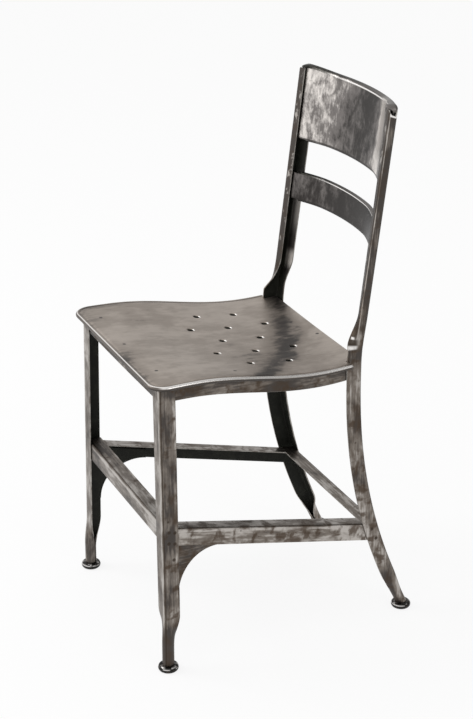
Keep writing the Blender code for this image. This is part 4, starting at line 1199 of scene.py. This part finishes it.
def pressed_finish(name, lines, colours, axis, shade, brown, front=0.0, tilt=0.0, welds=()):
    """Bare pressed steel with lengthwise marks, brown blotches and painted shade as a dark line along its fold.

    The attribute across is the distance from the fold, below 0 on the face that front lightens or darkens
    as painted light, as that face catches more or less of it than the other; axis is the piece's length,
    tilt its slope, shade its tone and brown the share of its blotches. Painted highlights run beside the
    fold and along a line towards the chair's front, and painted shadow lies just under the seat. The
    upright pieces are the legs, which go on above the seat as darker posts with a lip.
    """
    leg = axis == UPRIGHT

    def paint(place, shader):
        across = place.attribute("across")
        depth = place.axis(LENGTHWAYS)
        rise = place.axis(UPRIGHT) - lines.size.seat_height
        laid = place.stretched((1.0, 1.0, 1.0), (tilt, 0.0, 0.0)) if tilt else place
        mills = laid.stretched(along_axis(axis, 0.05)).noise(330.0, 3.0, 0.6)
        streak = laid.stretched(along_axis(axis, 0.3)).noise(80.0, 4.0, 0.6, 0.4)
        wash = laid.stretched(along_axis(axis, 0.6)).noise(24.0, 4.0, 0.55)
        blotch = laid.stretched(along_axis(axis, 0.5)).noise(46.0, 4.0, 0.55, 0.3)
        bars = laid.stretched(along_axis(axis, 1.5)).noise(44.0, 4.0, 0.55)
        spots = place.node("ShaderNodeTexVoronoi", Vector=place, Scale=62.0).ramp(0.17, 0.07)
        spots = spots * place.noise(19.0, 2.0).ramp(0.60, 0.66)
        marks = weld_marks(on_left(place), welds, 0.0014) if welds else 0.0
        face = across.ramp(0.0008, -0.0008)
        # Painted shade: a dark line along the fold.
        fold_shade_line = across.line(0.0004, 0.0003, 0.0011)
        # Painted highlight beside the fold, on the face.
        fold_highlight = across.line(-0.0036, 0.0006, 0.0024)
        # Painted highlight along a line 20 mm from the fold, towards the chair's front.
        strip = across.line(0.0200, 0.0006, 0.0040) * depth.ramp(-0.10, -0.15)
        # Painted shadow just under the seat.
        seat_shadow = rise.line(-0.0105, 0.0060, 0.0120)
        above = rise.ramp(*POST_FADE) if leg else 0.0
        aft = depth.ramp(-0.05, 0.10)
        rear = aft * (1.0 - above) * 0.03

        # face * front is painted light: the face that catches more light is lighter.
        tone = wash * 0.6 + streak * 0.4 + mills * 0.3 + face * front + shade + rear
        tone = tone + fold_highlight * 0.12 + strip * 0.06 - seat_shadow * 0.10
        if leg:
            tone = tone + leg_shades(place, across, face, above, aft)
        tone = tone.ramp(0.505, 0.84)

        more = rear if leg else 0.0
        rust = (blotch + more).ramp(0.52 - brown, 0.71 - brown)
        rust = rust.most((bars + more).ramp(0.54 - brown, 0.71 - brown))
        if leg:
            rust = rust * (1.0 - above * 0.5) * (1.0 - face * 0.6)

        layers = [(rust * 0.85, colours.rust), ((spots * 0.8).most(marks * 0.85), colours.stain_and_shade),
                  (fold_shade_line * 0.8, colours.stain_and_shade)]
        if leg:
            below_top = place.axis(UPRIGHT) - lines.post_top
            layers += post_layers(place, across, rise, above, below_top, colours)
        metal = toned(tone, colours.shadow, colours.bronze, colours.steel)
        layered(metal, *layers).feed(shader, "Base Color")
        (0.40 - tone * 0.12 + rust * 0.12 + mills * 0.06).feed(shader, "Roughness")
        relief = mills * 0.25 + blotch * 0.4 - spots * 0.6 - marks * 0.8 - fold_shade_line * 0.5
        relief.bump(0.0004, 0.4).feed(shader, "Normal")

    return finish(name, paint)


def leg_shades(place, across, face, above, aft):
    """What a leg adds to its tone: dark ankles, sides and posts, a post's dark lip and its bright fold."""
    upright = place.axis(UPRIGHT)
    fore = 1.0 - aft
    ankle = upright.ramp(0.095, 0.060)
    foot = ankle * (place.axis(SIDEWAYS).ramp(-0.10, 0.10) * 0.6 + 0.4) * fore
    # Painted shade on the rear ankles' curled front edge.
    curl = ankle * across.ramp(0.009, 0.016) * aft
    # Painted shade on the front legs' sides, higher up.
    side = (1.0 - face) * fore * upright.ramp(0.15, 0.30)
    lip = across.ramp(0.0112, 0.0126) * above
    # Painted highlight along the post's lip fold.
    lip_fold_highlight = across.line(0.0102, 0.0002, 0.0007) * above
    flange_side = across.ramp(0.0040, 0.0) * above
    shades = foot * 0.22 + curl * 0.14 + side * 0.05 + above * 0.10 + flange_side * 0.08 + lip * 0.16
    return lip_fold_highlight * 0.22 - shades


def post_layers(place, across, rise, above, below_top, colours):
    """What shows on a post: flecks on its lip, and painted light on the knee's shoulder and its top's rim.

    Up the knee, by the rise above the seat, come painted highlights and shade: a bright band, dark, a
    small bright patch and dark again.
    """
    fleck = place.noise(62.0, 4.0, 0.6).ramp(0.54, 0.66) * across.ramp(0.0125, 0.0145) * above
    # Painted highlights and shade up the knee's shoulder: a bright band, dark, a small bright patch, dark
    # again.
    strip = across.ramp(0.0075, 0.0125)
    band = rise.line(0.0005, 0.0010, 0.0030) * strip
    upper = rise.line(0.0265, 0.0080, 0.0140) * across.ramp(0.0110, 0.0125)
    shade = rise.line(0.0075, 0.0030, 0.0040).most(upper) * strip
    patch = rise.line(0.0135, 0.0006, 0.0020) * across.line(0.0175, 0.0012, 0.0026)
    # Painted highlight along the rim of the post's top.
    rim = (below_top - across * 0.35).ramp(-0.0044, -0.0038) * across.line(0.0050, 0.0050, 0.0008)
    return [(fleck * 0.8, colours.steel), (shade * 0.85, colours.stain_and_shade), (band * 0.85, colours.bead),
            (patch * 0.9, colours.bead), (rim, colours.bead)]


def seat_finish(colours):
    """Satin steel with soft smudges along the seat's depth, a painted dark reflection across it and a bright
    bead.

    The bead carries a painted highlight with painted shade below it and in the groove inside it, and the
    seat is painted darker, as shade, towards the bead and its front, most at the right front corner. The
    attribute across is the distance inside the bead, runs below 0 over the bead itself and rises to
    about 1 on the lit side of the vents' mouths, where a painted highlight lies.
    """

    def paint(place, shader):
        edge = place.attribute("across")
        sideways, depth = place.axis(SIDEWAYS), place.axis(LENGTHWAYS)
        smear = place.stretched((1.0, 0.25, 1.0)).noise(30.0, 4.0, 0.6, 0.3)
        wash = place.stretched((0.8, 1.0, 1.0)).noise(10.0, 3.0, 0.55, 0.4)
        fine = place.stretched((1.0, 0.3, 1.0)).noise(260.0, 3.0, 0.6)
        mottle = place.stretched((1.0, 0.45, 1.0)).noise(85.0, 4.0, 0.6, 0.5)
        marks = weld_marks(place.stretched((1.0, 1.0, 0.0)), SEAT_WELDS, 0.0012)
        # Painted shade: the seat darker towards the bead and the front, most at the right front corner.
        fore = depth.ramp(-0.16, -0.215) * 0.35 + edge.ramp(0.024, 0.002) * 0.35
        fore = fore + sideways.ramp(-0.09, -0.17) * depth.ramp(-0.13, -0.20) * 0.8
        # Painted dark reflection: a band across the seat along a curve.
        left = sideways.most(0.0)
        curve = 0.062 - sideways * 0.42 - left * left * 1.9
        band = abs(depth - curve + (wash - 0.5) * 0.10).ramp(0.045, 0.0) * smear.ramp(0.22, 0.66)
        tone = smear * 0.45 + wash * 0.55 + fine * 0.15 + (mottle - 0.5) * 0.22 - fore * 0.13
        tone = tone.ramp(0.25, 0.74) - band * 0.83

        front = depth.ramp(-0.203, -0.214)
        # Painted shade in the groove inside the bead, weaker along the front.
        groove = edge.line(0.0026, 0.0006, 0.0016) * (1.0 - front * 0.8)
        # Painted highlight along the bead, narrower on the front edge.
        side_bead_highlight = edge.line(-0.0019, 0.0012, 0.0010)
        front_bead_highlight = edge.line(-0.0012, 0.0003, 0.0006)
        bead = side_bead_highlight * (1.0 - front) + front_bead_highlight * front
        # Painted shade on the front bead below its highlight.
        hollow = edge.line(-0.0028, 0.0006, 0.0008) * front
        # Painted highlight on the lit side of the vents' mouths.
        glint = edge.ramp(0.45, 0.85)
        # Painted shade on the bead's underside.
        under = edge.ramp(-0.0032, -0.0046)
        metal = toned(tone, colours.seat_stain_and_shade, colours.seat_mid, colours.seat_steel)
        metal = layered(
            metal, ((marks * 0.95).most(groove * 0.7), colours.seat_stain_and_shade), (bead, colours.bead),
            (hollow * 0.85, colours.seat_stain_and_shade), (glint, colours.bead), (under, colours.shadow))
        metal.feed(shader, "Base Color")
        (0.42 - tone * 0.06 + fine * 0.06 - bead * 0.2).feed(shader, "Roughness")
        (fine * 0.3 - marks).bump(0.0003, 0.4).feed(shader, "Normal")

    return finish("satin_seat_steel", paint)


def slat_finish(lines, colours):
    """Polished steel, dark and cloudy, with painted reflections: lighter at the right end, a streak near the
    left.

    The attribute across is the angle round the rolled top; near the hem it is HEM_VALUE and the distance
    from the hem in millimetres. By it come a painted highlight along the front of the roll, painted shade
    over the roll's top and on the hems.
    """

    def paint(place, shader):
        roll = place.attribute("across")
        along = place.axis(SIDEWAYS)
        rise = place.axis(UPRIGHT) - lines.crest_bottom
        slant = (0.0, math.radians(20.0), 0.0)
        swirl = place.stretched((1.0, 1.0, 0.70), slant).noise(42.0, 6.0, 0.66, 0.35)
        mottle = place.stretched((1.0, 1.0, 0.8), slant).noise(105.0, 4.0, 0.62, 0.3)
        cloud = place.stretched((1.0, 1.0, 0.8), slant).noise(15.0, 3.0, 0.5, 0.6)
        fine = place.stretched((1.0, 1.0, 0.15), slant).noise(260.0, 3.0, 0.6)
        crest = rise.ramp(-0.0256, -0.0106)
        # Painted reflections on the crest rail: lighter towards both ends, most at the right, and a bright
        # streak near the left.
        light = along.ramp(0.02, -0.11) * 0.185 + along.ramp(0.02, 0.06) * 0.05
        light = light + along.line(0.084, 0.005, 0.020) * 0.30
        patch = along.line(0.040, 0.010, 0.040) * rise.ramp(0.0194, 0.0894)
        lower = (1.0 - crest) * (along.ramp(-0.10, 0.06) * 0.15 + 0.01)
        fleck = mottle.ramp(0.55, 0.70) * along.ramp(0.03, -0.07)
        tone = swirl * 0.60 + cloud * 0.35 + (mottle - 0.5) * 0.30 + fine * 0.20
        tone = tone + light * crest - patch * 0.12 - lower
        tone = tone.ramp(0.39, 0.97) - fleck * 0.22

        # Painted shade over the roll's top, darkest at the right end, where it covers the whole roll.
        top = along.ramp(-0.12, 0.12).blend(colours.enamel, colours.slat_mid)
        roll_shade = roll.ramp(0.45, 0.85).most(roll.ramp(0.0, 0.3) * along.ramp(-0.04, -0.10))
        # Painted highlight along the front of the roll.
        edge = roll.line(0.22, 0.08, 0.22) * along.ramp(-0.11, -0.02)
        # Painted shade on the hems.
        hem = roll.ramp(HEM_VALUE + 2.4, HEM_VALUE + 1.2)
        metal = toned(tone, colours.slat_stain_and_shade, colours.slat_mid, colours.slat_steel)
        metal = layered(metal, (roll_shade * 0.92, top), (edge, colours.bead), (hem * 0.8, colours.slat_stain_and_shade))
        metal.feed(shader, "Base Color")
        (0.36 - tone * 0.10 + fine * 0.06).feed(shader, "Roughness")
        (fine * 0.4 + swirl * 0.6).bump(0.0003, 0.25).feed(shader, "Normal")

    return finish("streaked_slat_steel", paint)


def enamel_finish(lines, colours):
    """Old dark enamel, a little dusty, and worn off the posts' rear flanges, with painted highlights on the
    bare steel.
    """

    def paint(place, shader):
        across = place.attribute("across")
        rise = place.axis(UPRIGHT) - lines.size.seat_height
        dust = place.noise(60.0, 5.0, 0.65)
        dusty = tuple(2.2 * part for part in colours.enamel)
        bare = across.ramp(-0.007, -0.013) * rise.ramp(*POST_FADE) * rise.ramp(0.2025, 0.1625)
        # Painted highlights on the bare flanges: a glint above the knee and a fainter stretch higher up.
        glint = rise.line(0.0485, 0.004, 0.016).most(rise.line(0.1425, 0.020, 0.040) * 0.4)
        coat = dust.ramp(0.40, 0.75).blend(colours.enamel, dusty)
        # The bare steel's colour, dark with the painted highlights.
        worn = glint.blend(colours.slat_stain_and_shade, colours.steel)
        bare.blend(coat, worn).feed(shader, "Base Color")
        bare.feed(shader, "Metallic")
        shader.inputs["Specular IOR Level"].default_value = 0.15
        (0.5 + dust * 0.2 - bare * 0.15).feed(shader, "Roughness")
        dust.bump(0.0002, 0.3).feed(shader, "Normal")

    return finish("old_enamel", paint, metallic=0.0)


def edge_finish(lines, colours):
    """Cut edges of the sheets, worn a little brighter than the faces; painted highlight along the posts' tops.
    """

    def paint(place, shader):
        wear = place.noise(70.0, 3.0, 0.55)
        # Painted highlight along the posts' top edges.
        post_top = (place.axis(UPRIGHT) - lines.post_top).ramp(-0.0158, -0.0088)
        wear.ramp(0.3, 0.7).most(post_top).blend(colours.bronze, colours.edge).feed(shader, "Base Color")
        (0.5 - wear * 0.2).feed(shader, "Roughness")

    return finish("worn_edge_steel", paint)


def glide_finish(lines, colours):
    """Blackened steel with scuffs, and painted highlights in broken arcs round its rim."""

    def paint(place, shader):
        rise = place.axis(UPRIGHT) - lines.size.glide_height
        scuff = place.noise(180.0, 4.0, 0.6)
        # Painted highlights: broken arcs on the rounded edge and round the top's rim.
        ridge = rise.line(-0.0025, 0.0004, 0.0007) * place.noise(70.0, 2.0).ramp(0.44, 0.56)
        rim = rise.line(-0.0007, 0.0003, 0.0006) * place.noise(90.0, 2.0).ramp(0.52, 0.60)
        metal = scuff.ramp(0.5, 0.75).blend(colours.glide, colours.stain_and_shade)
        (ridge.most(rim) * 0.65).blend(metal, colours.bead).feed(shader, "Base Color")
        (0.14 + scuff * 0.2).feed(shader, "Roughness")
        scuff.bump(0.0002, 0.2).feed(shader, "Normal")

    return finish("black_glide_steel", paint, metallic=0.8)


def plug_finish(colours):
    """Drawn steel of the plugs, with turning marks."""

    def paint(place, shader):
        marks = place.stretched((1.0, 1.0, 12.0)).noise(90.0, 3.0)
        dark = tuple(0.5 * part for part in colours.plug)
        marks.blend(dark, colours.plug).feed(shader, "Base Color")
        (0.4 + marks * 0.2).feed(shader, "Roughness")

    return finish("drawn_plug_steel", paint)


def ready(make, name, lines, colours):
    """The finish of that name, made the first time it is asked for."""
    return bpy.data.materials.get(name) or make(lines, colours)


def sheet_finishes(lines, colours, outer, inner=None):
    """Finishes of a sheet's outer skin, its inner skin and its edge."""
    inner = inner or ready(enamel_finish, "old_enamel", lines, colours)
    return [outer, inner, ready(edge_finish, "worn_edge_steel", lines, colours)]


def settings(context):
    """The chair's lines and its colours."""
    return ChairLines(context.scene.chair_sizes), context.scene.chair_finishes


# Operators

class CHAIR_OT_legs(bpy.types.Operator):
    """Front legs and back legs, pressed from sheet."""
    bl_idname = "chair.legs"
    bl_label = "Legs"

    def execute(self, context):
        lines, colours = settings(context)
        outer = pressed_finish("leg_patina_steel", lines, colours, UPRIGHT, shade=-0.01, brown=0.02, front=0.04,
                               welds=LEG_WELDS)
        finishes = sheet_finishes(lines, colours, outer)
        for label, side in SIDES.items():
            for kind, form in (("front", front_leg), ("back", back_leg)):
                sheet_piece(f"{kind}_leg_{label}", *form(lines, side), lines.size.leg_sheet, finishes,
                            "mottled_leg_steel")
        return {"FINISHED"}


class CHAIR_OT_rails(bpy.types.Operator):
    """Aprons, stretchers and gussets."""
    bl_idname = "chair.rails"
    bl_label = "Rails and gussets"

    def execute(self, context):
        lines, colours = settings(context)
        s = lines.size
        fall = math.atan(s.rear_stretcher_drop / s.frame_depth)
        crosswise = pressed_finish("cross_rail_steel", lines, colours, SIDEWAYS, shade=0.025, brown=-0.04)
        apron = pressed_finish("apron_steel", lines, colours, LENGTHWAYS, shade=-0.07, brown=0.05)
        stretcher = pressed_finish("stretcher_steel", lines, colours, LENGTHWAYS, shade=0.11, brown=0.05,
                                   front=-0.02, tilt=fall)
        corner = pressed_finish("gusset_steel", lines, colours, LENGTHWAYS, shade=-0.035, brown=0.08)
        ends = (("front", lines.front_plane_y, s.front_stretcher_top, 1.0),
                ("rear", lines.rear_plane_y, rear_stretcher_top(lines), -1.0))
        forms = {}
        for label, plane, _, inward_sign in ends:
            forms[f"apron_{label}"] = apron, apron_cross(lines, plane, inward_sign)
        for label, plane, level, inward_sign in ends:
            forms[f"stretcher_{label}"] = crosswise, stretcher_cross(lines, plane, level, inward_sign)
        for label, side in SIDES.items():
            forms[f"apron_{label}"] = apron, apron_side(lines, side)
            forms[f"stretcher_{label}"] = stretcher, stretcher_side(lines, side)
            forms[f"gusset_{label}"] = corner, gusset(lines, side)
        for name, (outer, form) in forms.items():
            sheet_piece(name, *form, s.rail_sheet, sheet_finishes(lines, colours, outer), "mottled_rail_steel")
        return {"FINISHED"}


class CHAIR_OT_back(bpy.types.Operator):
    """Crest rail and lower slat."""
    bl_idname = "chair.back"
    bl_label = "Crest rail and slat"

    def execute(self, context):
        lines, colours = settings(context)
        s = lines.size
        polished = slat_finish(lines, colours)
        finishes = sheet_finishes(lines, colours, polished, polished)
        forms = {
            "crest_rail": slat(lines, lines.crest_bottom, lines.crest_top, s.crest_roll, True),
            "back_slat": slat(lines, lines.slat_bottom, lines.slat_top, s.slat_roll, False),
        }
        for name, form in forms.items():
            sheet_piece(name, *form, s.slat_sheet, finishes, "polished_slat_steel")
        return {"FINISHED"}


class CHAIR_OT_seat(bpy.types.Operator):
    """Seat pan with its bead and vents."""
    bl_idname = "chair.seat"
    bl_label = "Seat pan"

    def execute(self, context):
        lines, colours = settings(context)
        finishes = sheet_finishes(lines, colours, seat_finish(colours))
        points, quads, across, dark = seat_pan(lines)
        sheet_piece("seat_pan", points, quads, across, lines.size.seat_sheet, finishes, "seat_steel", dark)
        return {"FINISHED"}


class CHAIR_OT_feet(bpy.types.Operator):
    """Glides under the ankles and the plugs inside them."""
    bl_idname = "chair.feet"
    bl_label = "Glides and plugs"

    def execute(self, context):
        lines, colours = settings(context)
        s = lines.size
        plug = plug_finish(colours)
        glide = glide_finish(lines, colours)
        feet = (("front", s.front_foot_x, lines.front_foot_y), ("rear", s.rear_foot_x, lines.rear_foot_y))
        for label, side in SIDES.items():
            for end, x, y in feet:
                foot_glide(lines, f"foot_glide_{end}_{label}", side * x, y, glide)
                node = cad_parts[f"ankle_plug_{end}_{label}"]
                node.data.materials.clear()
                node.data.materials.append(plug)
        return {"FINISHED"}


# Stage

FLOOR_REACH = 30.0
CHAIR_MIDDLE = (0.0, 0.0, 0.5)
BRIGHT_SIDE = (-0.35, -0.85, 0.40)
RAYS = ("Is Camera Ray", "Is Glossy Ray", "Is Transmission Ray")


def camera_matrix(studio):
    """Axes of a camera that looks down by the elevation and is turned by azimuth and roll."""
    turn, down = studio.azimuth, studio.elevation
    right = Vector((math.cos(turn), math.sin(turn), 0.0))
    upwards = Vector((-math.sin(turn) * math.sin(down), math.cos(turn) * math.sin(down), math.cos(down)))
    across = right * math.cos(studio.roll) + upwards * math.sin(studio.roll)
    up = upwards * math.cos(studio.roll) - right * math.sin(studio.roll)
    back = across.cross(up)
    place = Vector(studio.camera_place)
    return Matrix([(*row, place[i]) for i, row in enumerate(zip(across, up, back))] + [(0, 0, 0, 1)])


class CHAIR_OT_stage(bpy.types.Operator):
    """Pale floor, soft lamps, pale surroundings and the camera."""
    bl_idname = "chair.stage"
    bl_label = "Stage"

    def execute(self, context):
        studio = context.scene.chair_studio
        mesh = bpy.data.meshes.new("floor")
        corners = np.array([(-1, -1, 0), (1, -1, 0), (1, 1, 0), (-1, 1, 0)]) * FLOOR_REACH
        mesh.from_pydata(corners.tolist(), [], [(0, 1, 2, 3)])
        floor = bpy.data.objects.new("floor", mesh)
        context.scene.collection.objects.link(floor)
        mesh.materials.append(floor_finish(studio.floor))

        lens = bpy.data.cameras.new("camera")
        lens.sensor_width = SENSOR
        lens.lens = studio.focal_pixels * SENSOR / PHOTO_HEIGHT
        lens.clip_end = 4 * FLOOR_REACH
        camera = bpy.data.objects.new("camera", lens)
        camera.matrix_world = camera_matrix(studio)
        context.scene.collection.objects.link(camera)
        context.scene.camera = camera

        lamp(context, "key", place=(-1.4, -2.4, 2.2), size=1.6, power=40.0)
        lamp(context, "side", place=(2.6, 0.6, 1.8), size=1.2, power=8.0)
        surroundings(context.scene)
        context.scene.view_settings.view_transform = "Standard"
        return {"FINISHED"}


def floor_finish(colour):
    """Matt floor that looks white to the camera and in reflections, and still takes the chair's shadow."""
    material = bpy.data.materials.new("floor")
    material.use_nodes = True
    tree = material.node_tree
    shader = tree.nodes["Principled BSDF"]
    shader.inputs["Base Color"].default_value = opaque(colour)
    shader.inputs["Roughness"].default_value = 0.9
    shader.inputs["Specular IOR Level"].default_value = 0.0
    path = tree.nodes.new("ShaderNodeLightPath")
    camera, glossy, through = (Value(tree, path.outputs[name]) for name in RAYS)
    white = camera.node("ShaderNodeEmission", Color=(1.0, 1.0, 1.0, 1.0), Strength=1.0)
    lit = Value(tree, shader.outputs["BSDF"])
    mix = camera.node("ShaderNodeMixShader", _0=camera.most(glossy).most(through) * 0.85, _1=lit, _2=white)
    tree.links.new(mix.socket, tree.nodes["Material Output"].inputs["Surface"])
    return material


def lamp(context, name, place, size, power):
    """A square soft lamp aimed at the chair's middle."""
    light = bpy.data.lights.new(name, "AREA")
    light.size = size
    light.energy = power
    piece = bpy.data.objects.new(name, light)
    piece.location = place
    piece.rotation_euler = (Vector(CHAIR_MIDDLE) - Vector(place)).to_track_quat("-Z", "Y").to_euler()
    context.scene.collection.objects.link(piece)


def surroundings(scene):
    """White to the camera; as light on the chair, bright before its front and dimmer behind it."""
    world = bpy.data.worlds.new("studio")
    world.use_nodes = True
    scene.world = world
    tree = world.node_tree
    bearing = Value(tree, tree.nodes.new("ShaderNodeTexCoord").outputs["Generated"])
    seen = Value(tree, tree.nodes.new("ShaderNodeLightPath").outputs["Is Camera Ray"])
    front = bearing.node("ShaderNodeVectorMath", {"operation": "DOT_PRODUCT"}, output=1, _0=bearing,
                         _1=BRIGHT_SIDE)
    strength = seen.most(0.4 + 0.6 * front.ramp(-0.6, 0.8))
    tree.links.new(strength.socket, tree.nodes["Background"].inputs["Strength"])
    tree.nodes["Background"].inputs["Color"].default_value = (1.0, 1.0, 1.0, 1.0)


class CHAIR_PT_panel(bpy.types.Panel):
    """Lists the pieces, the stage and their settings."""
    bl_idname = "CHAIR_PT_panel"
    bl_label = "Classroom chair"
    bl_space_type = "VIEW_3D"
    bl_region_type = "UI"
    bl_category = "Chair"

    def draw(self, context):
        for operator in OPERATORS:
            self.layout.operator(operator.bl_idname)
        for name, group in GROUPS.items():
            column = self.layout.column()
            for setting in group.__annotations__:
                column.prop(getattr(context.scene, name), setting)


GROUPS = {"chair_sizes": ChairSizes, "chair_finishes": ChairFinishes, "chair_studio": ChairStudio}
OPERATORS = (CHAIR_OT_legs, CHAIR_OT_rails, CHAIR_OT_back, CHAIR_OT_seat, CHAIR_OT_feet, CHAIR_OT_stage)


def register():
    """Adds the classes, and the settings to every scene."""
    for group in (*GROUPS.values(), *OPERATORS, CHAIR_PT_panel):
        bpy.utils.register_class(group)
    for name, group in GROUPS.items():
        setattr(bpy.types.Scene, name, PointerProperty(type=group))


def unregister():
    """Takes the settings and the classes away again."""
    for name in GROUPS:
        delattr(bpy.types.Scene, name)
    for group in (CHAIR_PT_panel, *reversed(OPERATORS), *GROUPS.values()):
        bpy.utils.unregister_class(group)


def main():
    """Makes the pieces and the stage."""
    register()
    bpy.ops.chair.legs()
    bpy.ops.chair.rails()
    bpy.ops.chair.back()
    bpy.ops.chair.seat()
    bpy.ops.chair.feet()
    bpy.ops.chair.stage()


if __name__ == "__main__":
    main()
